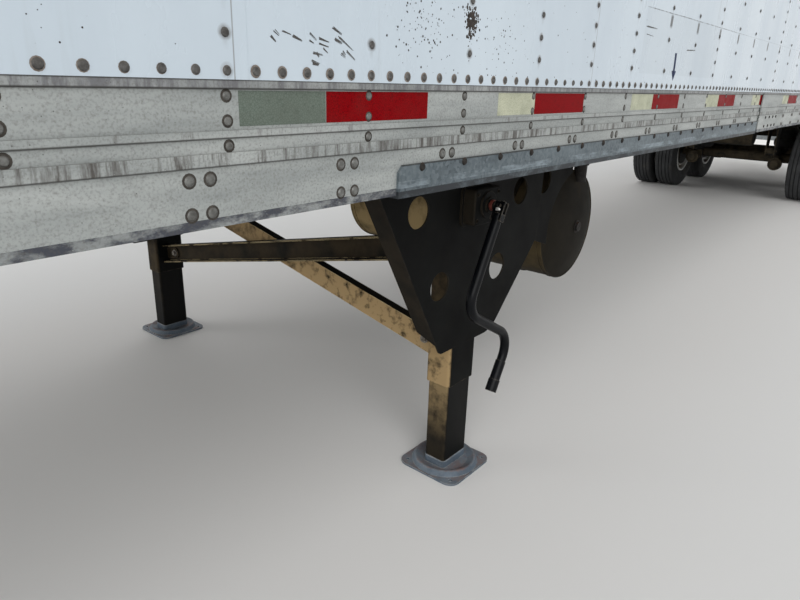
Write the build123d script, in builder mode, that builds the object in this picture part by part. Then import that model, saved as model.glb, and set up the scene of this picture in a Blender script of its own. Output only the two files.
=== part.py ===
"""A 53 ft refrigerated van semi trailer, parked on its landing legs and its tandem duals.

Millimetres.  +X is forward, +Y is the left (driver's) side, +Z is up, and the ground is z = 0.
The origin is the centre of the overall length and width, on the ground.
A "setback" is a distance behind the nose, and an "inset" is a distance inboard from a side sheet.
"""
from build123d import *
import math
import os

os.makedirs("parts", exist_ok=True)

# Overall body
body_length = 16154          # nose to the outer face of the rear doors (53 ft)
body_width = 2591            # across the side sheets (102 in)
body_height = 4115           # ground to roof (13 ft 6 in)
rail_bottom = 1136           # ground to the underside of the bottom rails
rail_height = 213.8          # bottom rail, up to the lower edge of the side sheet
floor_top = 1400
wall_thickness = 64
front_wall_thickness = 100
roof_thickness = 60
top_rail_height = 110
nose_corner_radius = 50
post_pitch = 304.8           # wall posts and cross-members (12 in)

# Bottom rail section
rail_rib_depth = 4.5
rail_web = 6
rail_flange = 6              # its foot under the cross-members' ends

# Cross-members
beam_depth = 102
beam_flange = 57
beam_web = 5
beam_flange_thickness = 6
first_beam_setback = 277.75  # the pairs of rivets on the rail stand at this, plus n pitches

# Lift rails under the bottom rails, and the joint plates behind them
lift_rail_setback = 2854
lift_rail_length = 3091
lift_rail_height = 66
lift_rail_thickness = 6
lift_rail_flange = 70
joint_plate_length = 465
joint_plate_height = 208
joint_plate_thickness = 5
joint_plate_gap = 15

# Coupler plate and kingpin
coupler_length = 1500
coupler_width = 1180
coupler_drop = 10            # the bearing face, below the rails
coupler_front_gap = 20       # from the nose to the plate's bent-up edge
coupler_nose_lift = 45
kingpin_setback = 914
kingpin_radius = 25.4        # at the groove the coupling jaws close on
kingpin_collar_radius = 35.7
kingpin_collar = 35
kingpin_groove = 35
kingpin_foot = 14
kingpin_chamfer = 4
kingpin_seat_gap = 0.3       # round its collar, in the coupler plate

# Landing gear
leg_setback = 3581
leg_inset = 345
leg_outer_length = 152       # fore and aft
leg_outer_width = 102
leg_wall = 7
leg_corner_radius = 14
leg_outer_bottom = 350
leg_inner_overlap = 250
leg_running_gap = 0.3
pad_size = 256
pad_corner_radius = 42
pad_flange = 8
pad_floor = 16               # of the dish round the leg's boot
pad_floor_radius = 84
pad_crest = 27               # top of the ring round the dish
pad_crest_radius = 109
pad_crest_half_width = 6
pad_skirt_radius = 123
pad_hole_radius = 7
pad_hole_reach = 99          # of the corner holes, fore and aft and across
boot_top = 44
boot_margin = 3              # how far the boot stands out round the leg
boot_chamfer = 5
wing_plate_thickness = 6
wing_plate_flange = 60
wing_flange_cut = 75         # how far up the flange's lower end is cut away
wing_hole_radius = 48
gearbox_length = 150
gearbox_height = 116
gearbox_bottom = 930
gearbox_proud = 50
gearbox_corner = 16
gearbox_flange = 8           # its thickness, and how far it stands out all round
gearbox_bulge = 42           # radius of the raised face round the input shaft
gearbox_bulge_proud = 6
input_boss_radius = 25
input_boss_length = 12
input_shaft_radius = 13.5
bevel_box_length = 118
bevel_box_height = 96
bevel_box_proud = 34
cross_shaft_radius = 19
cross_shaft_sleeve = 27      # radius of the coupling at each end, and half its length
cross_shaft_height = 1000
crank_radius = 16
crank_inset = 190            # the plane that the handle hangs in
crank_pin_height = 993
crank_gap = 0.3
crank_pin_reach = 2          # ahead of the leg's axis
crank_tang = 14              # the flattened end of the input shaft, between the crank's cheeks
crank_cheek = 5
crank_cheek_width = 36
crank_cheek_above = 15       # past the pin
crank_cheek_length = 62
crank_pin_radius = 6
crank_grip_radius = 18
crank_grip_length = 112
crank_ferrule_radius = 20
crank_ferrule_length = 44
brace_depth = 90             # the two crossed channels between the legs
brace_flange = 40
brace_thickness = 6
brace_high = 830
brace_low = 448
brace_gap = 0.3
brace_ear_half = 28          # half the width of the ears on the legs
brace_ear_reach = 72         # from the leg to the bolt
brace_ear_thickness = 8
brace_bolt_hole = 9

# Fuel tank, lying across the trailer behind the legs
tank_setback = 4416
tank_height = 782            # its axis above the ground
tank_radius = 233
tank_inset = 350
tank_length = 1090           # between the rims of the heads
tank_crown = 45
tank_strap_width = 50
tank_strap_thickness = 4
tank_strap_inset = 180
tank_hanger_thickness = 8
tank_bracket_offset = 30     # a holed plate past each rim, ahead of the tank
tank_bracket_thickness = 6
tank_bracket_gap = 13
tank_bracket_hole_radius = 52

# Tandem
front_axle_setback = 11700
axle_spread = 1245
tyre_radius = 515
tyre_width = 279
bead_radius = 286
inner_tyre_inset = 465
outer_tyre_inset = 146
rim_width = 210
rim_thickness = 9
rim_flange = 14               # both its height above the bead seat and its width
bead_gap = 0.3
disc_thickness = 12
disc_radius = 258
disc_bend_radius = 170
hand_hole_radius = 30
hand_hole_circle = 208
hand_holes = 8
hub_radius = 142
hub_barrel_radius = 92
hub_length = 175
hub_cap_radius = 70
hub_cap_length = 24
hub_flange = 16
hub_flange_radius = 182
stud_count = 10
stud_circle = 142.9
stud_radius = 11
stud_length = 34
drum_radius = 222
drum_wall = 13
drum_inner_inset = 560
spindle_radius = 40
spindle_gap = 0.3
axle_tube_radius = 63.5
shield_radius = 196
shield_thickness = 6
shield_gap = 12
arm_inset = 812              # suspension centre line, inboard of the side sheet
arm_width = 90
arm_pivot_reach = 520        # pivot ahead of the axle
arm_pivot_height = 640
arm_eye_radius = 45
arm_pin_radius = 15
arm_pin_gap = 0.3
arm_pin_head = 12
arm_saddle = 110             # half the length of the block round the axle tube
arm_spring_reach = 330       # air spring behind the axle
air_spring_radius = 135
air_spring_bottom = 630
slider_height = 130
hanger_gap = 0.3
slider_wall = 8
slider_cross_width = 80
slider_cross_step = 15       # the cross beams are this much shallower at top and bottom
slider_front_margin = 240
slider_rear_margin = 230
slider_rail_height = 100
slider_rail_width = 100
slider_rail_length = 5200
slider_rail_front_setback = 10500
slider_hole_radius = 22
slider_hole_pitch = 152.4
hanger_thickness = 8
hanger_length = 240
brake_chamber_inset = 780
brake_chamber_reach = 175    # its mounting face, ahead of the axle
brake_chamber_height = 455
brake_plate_thickness = 12
brake_plate_offset = 33      # outboard of the chamber's axis
brake_plate_bottom = 425
brake_plate_top = 500
air_tank_radius = 120
air_tank_length = 600
air_tank_gap = 0.3

# Rear frame and doors
frame_depth = 120
frame_post = 64
frame_header = 150
door_thickness = 70
door_seal_gap = 0.3
door_overlap = 38
door_half_gap = 7
hinge_inset = 20             # hinge axis, inboard of the side sheet
hinge_back = 30              # hinge axis, behind the outer face of the doors
hinge_pin_radius = 8
hinge_barrel_radius = 15
hinge_barrel_length = 60
hinge_ear_thickness = 14
hinge_clearance = 0.3
hinge_edge_gap = 10          # from the axis to the edge of the leaf
hinge_strap_length = 210
hinge_strap_height = 70
hinge_strap_thickness = 8
hinge_heights = (1560, 2250, 2940, 3630)
lock_rods = (
    # distance from the hinge axis, way its handle points (1 is inboard), height of the handle
    (340, 1, 1650), (980, -1, 1750),
)
lock_rod_radius = 13.5
lock_rod_offset = 24         # its axis behind the outer face of the door
lock_rod_overrun = 50        # past the leaf, to the cams
lock_guide_height = 60
lock_guide_width = 64
lock_guides = 4
lock_cam_width = 34
lock_cam_height = 22
lock_cam_reach = 44
keeper_gap = 9
keeper_thickness = 9
handle_length = 470
handle_thickness = 9
handle_width = 34
bumper_width = 110
bumper_height = 150
bumper_depth = 55            # past the outer face of the doors
bumper_inset = 90
guard_bar = 100
guard_bottom = 460
guard_width = 2400
guard_post_spacing = 900
guard_post_width = 70
flap_width = 610
flap_height = 700
flap_thickness = 8
flap_gap = 170               # behind the rear tyres, to the nearest cross-member
flap_bottom = 260
flap_bracket = 50

# Cooling unit on the nose
unit_depth = 430
unit_width = 1900
unit_bottom = 1830
unit_height = 2080
unit_corner_radius = 120
unit_grille_height = 700
unit_grille_width = 1500
unit_grille_depth = 60
unit_grille_drop = 330
unit_slats = 18
unit_slat_thickness = 8
unit_top_radius = 70
unit_panel_gap = 8           # between the doors and the shell, and how deep it shows
unit_panel_depth = 9
unit_door_height = 960
unit_door_rise = 60          # above the unit's lower edge
unit_side_door = 300         # from the nose to the joint on each side
unit_louvres = 9
unit_louvre_length = 210
unit_louvre_height = 16
unit_louvre_pitch = 44
unit_louvre_rise = 300
unit_latch_width = 110
unit_latch_height = 50
unit_latch_depth = 14
unit_latch_offset = 90       # from the middle joint
unit_latch_grip = 12

# Coupling heads and lamps
socket_radius = 32
socket_length = 60
socket_height = 1290
socket_spacing = 160
socket_plate_thickness = 8
lamp_radius = 52
lamp_depth = 18
marker_radius = 32
marker_depth = 20

# Places worked out from the sizes above
half_width = body_width / 2
overall_length = unit_depth + body_length + bumper_depth
nose_x = overall_length / 2 - unit_depth
door_face_x = nose_x - body_length
frame_rear_x = door_face_x + door_thickness + door_seal_gap
frame_front_x = frame_rear_x + frame_depth
front_wall_rear_x = nose_x - front_wall_thickness
box_length = front_wall_rear_x - frame_front_x
rail_top = rail_bottom + rail_height
beam_bottom = rail_bottom + rail_flange
beam_top = rail_bottom + beam_depth
inner_half_width = half_width - wall_thickness
panel_y = half_width - rail_rib_depth
leg_x = nose_x - leg_setback
leg_y = half_width - leg_inset
wing_plate_y = leg_y + leg_outer_width / 2
leg_inner_length = leg_outer_length - 2 * leg_wall - 2 * leg_running_gap
leg_inner_width = leg_outer_width - 2 * leg_wall - 2 * leg_running_gap
brace_y = leg_y - leg_outer_width / 2
brace_rise = brace_high - brace_low
brace_middle = (brace_low + brace_high) / 2
brace_ways = (1, -1)          # the front brace's flanges point forward, the rear one's rearward
axle_xs = (nose_x - front_axle_setback, nose_x - front_axle_setback - axle_spread)


def save(name, sub_part):
    """Label one sub-part and write it as a STEP file of the same name."""
    sub_part.part.label = name
    export_step(sub_part.part, f"parts/{name}.step")


# Bottom rails: one extrusion each side, with two outer ribs and a lip under the sheet
rail_bands = (
    # (depth inboard from the outer face: near, far), (height above the rail's underside: low, high)
    ((rail_rib_depth, rail_rib_depth + rail_web), (0, rail_height)),
    ((0, rail_rib_depth + 1), (92, 110.5)),
    ((0, rail_rib_depth + 1), (132, 142.5)),
    ((0, rail_rib_depth + 1), (201.5, rail_height)),
    ((rail_rib_depth, 45), (0, rail_flange)),
    ((rail_rib_depth, 58), (beam_depth + 0.3, beam_depth + 6.3)),
    ((rail_rib_depth, wall_thickness), (rail_height - 7, rail_height)),
)
with BuildPart() as bottom_rails:
    with BuildSketch(Plane.YZ.offset(frame_front_x)):
        for (near, far), (low, high) in rail_bands:
            with Locations((half_width - (near + far) / 2, rail_bottom + (low + high) / 2)):
                Rectangle(far - near, high - low)
    extrude(amount=box_length)
    mirror(about=Plane.XZ)
save("bottom_rails", bottom_rails)

# Side walls: foam-filled panels that stand on the bottom rails
wall_height = body_height - top_rail_height - rail_top
for side, name in ((1, "side_wall_left"), (-1, "side_wall_right")):
    with BuildPart(Plane.XY.offset(rail_top)) as side_wall:
        with Locations((frame_front_x + box_length / 2, side * (half_width - wall_thickness / 2))):
            Box(box_length, wall_thickness, wall_height, align=(Align.CENTER, Align.CENTER, Align.MIN))
    save(name, side_wall)

# Top rails: hollow extrusions along the roof's edges
with BuildPart() as top_rails:
    with BuildSketch(Plane.YZ.offset(frame_front_x)):
        with Locations((half_width - wall_thickness / 2, body_height - top_rail_height / 2)):
            outline = Rectangle(wall_thickness, top_rail_height)
        fillet(outline.vertices().group_by(Axis.Y)[-1].sort_by(Axis.X)[-1], radius=18)
        with Locations((half_width - wall_thickness / 2, body_height - top_rail_height / 2)):
            Rectangle(wall_thickness - 2 * rail_web, top_rail_height - 2 * rail_web, mode=Mode.SUBTRACT)
    extrude(amount=box_length)
    mirror(about=Plane.XZ)
save("top_rails", top_rails)

# Roof: one panel between the top rails, a little below their crowns
roof_drop = 4
with BuildPart(Plane.XY.offset(body_height - roof_drop - roof_thickness)) as roof:
    with Locations((frame_front_x + box_length / 2, 0)):
        Box(box_length, 2 * inner_half_width, roof_thickness,
            align=(Align.CENTER, Align.CENTER, Align.MIN))
save("roof", roof)

# Front wall: the full nose panel, with rounded corner posts
with BuildPart() as front_wall:
    with BuildSketch(Plane.XY.offset(rail_bottom)):
        with Locations((nose_x - front_wall_thickness / 2, 0)):
            nose_plan = Rectangle(front_wall_thickness, body_width)
        fillet(nose_plan.vertices().group_by(Axis.X)[-1], radius=nose_corner_radius)
    extrude(amount=body_height - rail_bottom)
save("front_wall", front_wall)

# Floor: an insulated deck with a duct floor of long ribs on top
duct_depth = 30
duct_groove = 32
duct_pitch = 62
duct_count = int(2 * inner_half_width // duct_pitch)
with BuildPart() as floor:
    with BuildSketch(Plane.YZ.offset(frame_front_x)):
        with Locations((0, (beam_top + floor_top) / 2)):
            Rectangle(2 * inner_half_width - 0.6, floor_top - beam_top)
        with Locations((0, floor_top - duct_depth / 2)):
            with GridLocations(duct_pitch, 0, duct_count, 1):
                Rectangle(duct_groove, duct_depth, mode=Mode.SUBTRACT)
    extrude(amount=box_length)
save("floor", floor)

# Cross-members: I-beams between the bottom rails, one to each wall post
beam_half_length = half_width - rail_rib_depth - rail_web
beam_count = int((nose_x - first_beam_setback - frame_front_x - beam_flange) // post_pitch) + 1
beam_xs = [nose_x - first_beam_setback - row * post_pitch for row in range(beam_count)]
beam_bands = (
    # width of the band, height of its middle, depth of the band
    (beam_web, (beam_bottom + beam_top) / 2, beam_top - beam_bottom),
    (beam_flange, beam_bottom + beam_flange_thickness / 2, beam_flange_thickness),
    (beam_flange, beam_top - beam_flange_thickness / 2, beam_flange_thickness),
)
with BuildPart() as crossmembers:
    with BuildSketch(Plane.XZ.offset(-beam_half_length)):
        for width, height, depth in beam_bands:
            with Locations(*[(beam_x, height) for beam_x in beam_xs]):
                Rectangle(width, depth)
    extrude(amount=2 * beam_half_length)
save("crossmembers", crossmembers)

# Lift rails: galvanised angles that wrap the lower edge of the bottom rails
lift_rear_x = nose_x - lift_rail_setback - lift_rail_length
with BuildPart() as lift_rails:
    with BuildSketch(Plane.YZ.offset(lift_rear_x)):
        with Locations((half_width + lift_rail_thickness / 2 - rail_rib_depth,
                        rail_bottom - lift_rail_thickness + lift_rail_height / 2)):
            Rectangle(lift_rail_thickness, lift_rail_height)
        with Locations((panel_y + lift_rail_thickness - lift_rail_flange / 2,
                        rail_bottom - lift_rail_thickness / 2)):
            Rectangle(lift_rail_flange, lift_rail_thickness)
    extrude(amount=lift_rail_length)
    front_corner = lift_rails.edges().filter_by(Axis.Y).group_by(Axis.X)[-1].sort_by(Axis.Z)[-1]
    chamfer(front_corner, length=14)
    mirror(about=Plane.XZ)
save("lift_rails", lift_rails)

# Joint plates: flat plates over the bottom rails' joint, behind the lift rails
plate_front_x = lift_rear_x - joint_plate_gap
with BuildPart() as joint_plates:
    with Locations((plate_front_x - joint_plate_length / 2, half_width + joint_plate_thickness / 2,
                    rail_bottom + joint_plate_height / 2)):
        Box(joint_plate_length, joint_plate_thickness, joint_plate_height)
    mirror(about=Plane.XZ)
save("joint_plates", joint_plates)

# Coupler plate: the bearing plate under the nose, its front edge bent up
coupler_front_x = nose_x - coupler_front_gap
coupler_rear_x = coupler_front_x - coupler_length
coupler_bottom = rail_bottom - coupler_drop
with BuildPart() as coupler_plate:
    with BuildSketch(Plane.XZ.offset(-coupler_width / 2)):
        with BuildLine():
            Polyline(
                (coupler_rear_x, coupler_bottom), (coupler_front_x - coupler_nose_lift, coupler_bottom),
                (coupler_front_x, rail_bottom), (front_wall_rear_x, rail_bottom),
                (front_wall_rear_x, beam_bottom), (coupler_rear_x, beam_bottom),
                close=True,
            )
        make_face()
    extrude(amount=coupler_width)
    with Locations((nose_x - kingpin_setback, 0, beam_bottom)):
        Hole(kingpin_collar_radius + kingpin_seat_gap)
save("coupler_plate", coupler_plate)

# Kingpin: a turned pin through the coupler plate
with BuildPart() as kingpin:
    pin_top = beam_bottom
    turned = (
        # radius, length
        (kingpin_collar_radius, beam_bottom - coupler_bottom + kingpin_collar),
        (kingpin_radius, kingpin_groove),
        (kingpin_collar_radius, kingpin_foot),
    )
    for radius, length in turned:
        with Locations((nose_x - kingpin_setback, 0, pin_top)):
            Cylinder(radius, length, align=(Align.CENTER, Align.CENTER, Align.MAX))
        pin_top -= length
    chamfer(kingpin.edges().group_by(Axis.Z)[0], length=kingpin_chamfer)
save("kingpin", kingpin)

# Landing legs: square outer tubes, inner tubes that telescope in them, and foot pads
with BuildPart() as leg_tubes_outer:
    with BuildSketch(Plane.XY.offset(leg_outer_bottom)):
        with Locations((leg_x, leg_y)):
            RectangleRounded(leg_outer_length, leg_outer_width, leg_corner_radius)
            Rectangle(leg_outer_length - 2 * leg_wall, leg_outer_width - 2 * leg_wall, mode=Mode.SUBTRACT)
    extrude(amount=beam_bottom - leg_outer_bottom)
    mirror(about=Plane.XZ)
    for way in brace_ways:
        ear_x = leg_x + way * (brace_gap / 2 + brace_thickness + brace_gap + brace_ear_thickness / 2)
        for end in (-1, 1):
            ear_z = brace_middle + end * way * brace_rise / 2
            bolt_z = ear_z - end * way * brace_rise * brace_ear_reach / (2 * brace_y)
            root_y, bolt_y = end * (brace_y + leg_wall / 2), end * (brace_y - brace_ear_reach)
            with BuildSketch(Plane.YZ.offset(ear_x - brace_ear_thickness / 2)):
                with BuildLine():
                    Polyline(
                        (root_y, ear_z - brace_ear_half), (root_y, ear_z + brace_ear_half),
                        (bolt_y, bolt_z + brace_ear_half), (bolt_y, bolt_z - brace_ear_half),
                        close=True,
                    )
                make_face()
                with Locations((bolt_y, bolt_z)):
                    Circle(brace_ear_half)
                    Circle(brace_bolt_hole, mode=Mode.SUBTRACT)
            extrude(amount=brace_ear_thickness)
save("leg_tubes_outer", leg_tubes_outer)

with BuildPart() as leg_tubes_inner:
    with BuildSketch(Plane.XY.offset(boot_top)):
        with Locations((leg_x, leg_y)):
            RectangleRounded(leg_inner_length, leg_inner_width, leg_corner_radius - 4)
    extrude(amount=leg_outer_bottom + leg_inner_overlap - boot_top)
    mirror(about=Plane.XZ)
save("leg_tubes_inner", leg_tubes_inner)

with BuildPart() as foot_pads:
    with BuildSketch(Plane.XY):
        with Locations((leg_x, leg_y)):
            RectangleRounded(pad_size, pad_size, pad_corner_radius)
            with GridLocations(2 * pad_hole_reach, 2 * pad_hole_reach, 2, 2):
                Circle(pad_hole_radius, mode=Mode.SUBTRACT)
    extrude(amount=pad_flange)
    crest_low = pad_crest - 0.5 * pad_crest_half_width
    crest_in, crest_out = pad_crest_radius - pad_crest_half_width, pad_crest_radius + pad_crest_half_width
    with BuildSketch(Plane((leg_x, leg_y, 0), x_dir=(1, 0, 0), z_dir=(0, -1, 0))):
        with BuildLine():
            Polyline((crest_in, crest_low), (pad_floor_radius, pad_floor), (0, pad_floor),
                     (0, pad_flange / 2), (pad_skirt_radius, pad_flange / 2),
                     (pad_skirt_radius, pad_flange), (crest_out, crest_low))
            ThreePointArc((crest_out, crest_low), (pad_crest_radius, pad_crest), (crest_in, crest_low))
        make_face()
    revolve(axis=Axis((leg_x, leg_y, 0), (0, 0, 1)))
    with BuildSketch(Plane.XY.offset(pad_flange)):
        with Locations((leg_x, leg_y)):
            RectangleRounded(leg_inner_length + 2 * boot_margin, leg_inner_width + 2 * boot_margin,
                             leg_corner_radius + boot_margin)
    extrude(amount=boot_top - pad_flange)
    chamfer(foot_pads.edges().group_by(Axis.Z)[-1], length=boot_chamfer / 2)
    mirror(about=Plane.XZ)
save("foot_pads", foot_pads)

# Wing plates: the big holed gussets on the outboard faces of the legs
wing_outline = (
    # distance behind the leg's axis, height above the ground, radius of the corner
    (-506, beam_bottom, 0), (-150, 504, 24), (160, 504, 110), (443, 802, 36), (455, beam_bottom, 0),
)
wing_holes = ((-168, 745), (168, 745), (-290, 997), (290, 997))
with BuildPart() as wing_plates:
    with BuildSketch(Plane.XZ.offset(-wing_plate_y - wing_plate_thickness)) as wing_sketch:
        with BuildLine():
            Polyline(*[(leg_x - back, height) for back, height, radius in wing_outline], close=True)
        make_face()
        for back, height, radius in wing_outline:
            if radius:
                fillet(wing_sketch.vertices().sort_by_distance((leg_x - back, height))[0], radius=radius)
        with Locations(*[(leg_x - back, height) for back, height in wing_holes]):
            Circle(wing_hole_radius, mode=Mode.SUBTRACT)
    extrude(amount=wing_plate_thickness)
    front_low, front_high = wing_outline[1], wing_outline[0]
    flange_rise = wing_flange_cut / 2      # the flange starts above the plate's rounded corner
    flange_foot = (
        front_low[0] + (front_high[0] - front_low[0]) * flange_rise / (front_high[1] - front_low[1]),
        front_low[1] + flange_rise,
    )
    with BuildSketch(Plane.XZ.offset(-wing_plate_y)):
        with BuildLine():
            Polyline(
                (leg_x - flange_foot[0], flange_foot[1]),
                (leg_x - front_high[0], front_high[1]),
                (leg_x - front_high[0] - wing_plate_thickness, front_high[1]),
                (leg_x - flange_foot[0] - wing_plate_thickness, flange_foot[1]),
                close=True,
            )
        make_face()
    extrude(amount=wing_plate_flange)
    with BuildSketch(Plane.YZ.offset(leg_x - flange_foot[0])):
        with BuildLine():
            Polyline(
                (wing_plate_y, flange_foot[1] - 1), (wing_plate_y - wing_plate_flange - 1, flange_foot[1] - 1),
                (wing_plate_y - wing_plate_flange - 1, flange_foot[1] + flange_rise), close=True,
            )
        make_face()
    extrude(amount=wing_plate_flange, both=True, mode=Mode.SUBTRACT)
    mirror(about=Plane.XZ)
save("wing_plates", wing_plates)

# Gear drive: the gearbox on the left leg, the bevel box on the right leg and the shaft between them
gearbox_y = wing_plate_y + wing_plate_thickness
gearbox_middle = gearbox_bottom + gearbox_height / 2
crank_y = half_width - crank_inset
crank_route = (
    # distance behind the leg's axis, height above the ground
    (-crank_pin_reach, crank_pin_height), (-156, 680), (129, 518), (31, 337),
)
crank_bends = (70, 80)
crank_pin_plane = Plane(
    (leg_x + crank_pin_reach, crank_y, crank_pin_height),
    x_dir=(0, 1, 0),
    z_dir=(crank_route[0][0] - crank_route[1][0], 0, crank_route[1][1] - crank_route[0][1]),
)
with BuildPart() as gear_drive:
    for margin, thickness in ((gearbox_flange, gearbox_flange), (0, gearbox_proud)):
        with BuildSketch(Plane.XZ.offset(-gearbox_y)):
            with Locations((leg_x, gearbox_middle)):
                RectangleRounded(gearbox_length + 2 * margin, gearbox_height + 2 * margin,
                                 gearbox_corner + margin)
        extrude(amount=-thickness)
    chamfer(gear_drive.faces().sort_by(Axis.Y)[-1].edges(), length=gearbox_flange / 2)
    with BuildSketch(Plane.XZ.offset(gearbox_y)):
        with Locations((leg_x, gearbox_middle)):
            RectangleRounded(bevel_box_length, bevel_box_height, gearbox_corner)
    extrude(amount=bevel_box_proud)
    tang_back = crank_cheek_width / 2 + crank_gap
    input_length = crank_y - tang_back - gearbox_y - gearbox_proud
    for radius, length in ((gearbox_bulge, gearbox_bulge_proud), (input_boss_radius, input_boss_length),
                           (input_shaft_radius, input_length)):
        with Locations(Plane((leg_x + crank_pin_reach, gearbox_y + gearbox_proud, crank_pin_height),
                             z_dir=(0, 1, 0))):
            Cylinder(radius, length, align=(Align.CENTER, Align.CENTER, Align.MIN))
    with Locations(crank_pin_plane):
        with Locations(((input_shaft_radius - tang_back) / 2, 0, 0)):
            Box(input_shaft_radius + tang_back, crank_tang, 2 * input_shaft_radius)
    with Locations(Plane(crank_pin_plane.origin, z_dir=crank_pin_plane.y_dir)):
        Hole(crank_pin_radius + crank_gap)
    with Locations(Plane((leg_x, 0, cross_shaft_height), z_dir=(0, 1, 0))):
        Cylinder(cross_shaft_radius, 2 * brace_y)
    for sleeve_y in (cross_shaft_sleeve - brace_y, brace_y - cross_shaft_sleeve):
        with Locations(Plane((leg_x, sleeve_y, cross_shaft_height), z_dir=(0, 1, 0))):
            Cylinder(cross_shaft_sleeve, 2 * cross_shaft_sleeve)
save("gear_drive", gear_drive)

# Crank handle: a clevis on the flattened end of the input shaft, and a bent tube folded down from it
cheek_offset = crank_tang / 2 + crank_gap + crank_cheek / 2
cheek_end = crank_cheek_length - crank_cheek_above
cheek_root = input_shaft_radius + 2 * crank_cheek
crank_start = crank_pin_plane.origin + crank_pin_plane.z_dir * cheek_root
with BuildPart() as crank_handle:
    with BuildLine(Plane.XZ.offset(-crank_y)) as crank_path:
        FilletPolyline(
            (crank_start.X, crank_start.Z),
            *[(leg_x - back, height) for back, height in crank_route[1:]],
            radius=crank_bends,
        )
    crank_wire = crank_path.wires()[0]
    with BuildSketch(Plane(crank_wire @ 0, z_dir=crank_wire % 0)):
        Circle(crank_radius)
    sweep()
    with Locations(Plane(crank_wire @ 1, z_dir=crank_wire % 1)):
        Cylinder(crank_grip_radius, crank_grip_length, align=(Align.CENTER, Align.CENTER, Align.MAX))
        Cylinder(crank_ferrule_radius, crank_ferrule_length, align=(Align.CENTER, Align.CENTER, Align.MAX))
    with Locations(crank_pin_plane):
        with Locations((0, 0, (cheek_root + cheek_end) / 2)):
            Box(crank_cheek_width, 2 * cheek_offset, cheek_end - cheek_root)
        with Locations((0, -cheek_offset, cheek_end - crank_cheek_length / 2),
                       (0, cheek_offset, cheek_end - crank_cheek_length / 2)):
            Box(crank_cheek_width, crank_cheek, crank_cheek_length)
    with Locations(Plane(crank_pin_plane.origin, z_dir=crank_pin_plane.y_dir)):
        Cylinder(crank_pin_radius, 2 * cheek_offset + 3 * crank_cheek)
save("crank_handle", crank_handle)

# Crossed braces between the legs: two channels back to back, bolted to the ears
brace_length = math.hypot(2 * brace_y, brace_rise)
for name, facing in zip(("brace_front", "brace_rear"), brace_ways):
    brace_plane = Plane(
        (leg_x, 0, brace_middle),
        z_dir=(0, 2 * brace_y, facing * brace_rise),
        x_dir=(1, 0, 0),
    )
    with BuildPart() as brace:
        with BuildSketch(brace_plane):
            with Locations((facing * (brace_gap / 2 + brace_thickness / 2), 0)):
                Rectangle(brace_thickness, brace_depth)
            for edge in (-1, 1):
                with Locations((facing * (brace_gap / 2 + brace_flange / 2),
                                edge * (brace_depth - brace_thickness) / 2)):
                    Rectangle(brace_flange, brace_thickness)
        extrude(amount=brace_length / 2 + brace_depth, both=True)
        for end in (-1, 1):
            split(bisect_by=Plane((leg_x, end * brace_y, 0), z_dir=(0, end, 0)), keep=Keep.BOTTOM)
            bolt_y = end * (brace_y - brace_ear_reach)
            bolt_z = brace_middle + facing * brace_rise * bolt_y / (2 * brace_y)
            with Locations(Plane((leg_x, bolt_y, bolt_z), z_dir=(1, 0, 0))):
                Hole(brace_bolt_hole)
    save(name, brace)

# Fuel tank: a drum with crowned heads, lying across the trailer
tank_x = nose_x - tank_setback
tank_out_y = half_width - tank_inset
tank_in_y = tank_out_y - tank_length
head_radius = (tank_radius**2 + tank_crown**2) / (2 * tank_crown)
head_rise = head_radius - math.sqrt(head_radius**2 - tank_radius**2 / 4)
with BuildPart() as fuel_tank:
    with BuildSketch(Plane.YZ.offset(tank_x)):
        with BuildLine():
            Line((tank_in_y - tank_crown, tank_height), (tank_out_y + tank_crown, tank_height))
            ThreePointArc((tank_out_y + tank_crown, tank_height),
                          (tank_out_y + tank_crown - head_rise, tank_height + tank_radius / 2),
                          (tank_out_y, tank_height + tank_radius))
            Line((tank_out_y, tank_height + tank_radius), (tank_in_y, tank_height + tank_radius))
            ThreePointArc((tank_in_y, tank_height + tank_radius),
                          (tank_in_y - tank_crown + head_rise, tank_height + tank_radius / 2),
                          (tank_in_y - tank_crown, tank_height))
        make_face()
    revolve(axis=Axis((tank_x, 0, tank_height), (0, 1, 0)))
save("fuel_tank", fuel_tank)

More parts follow.
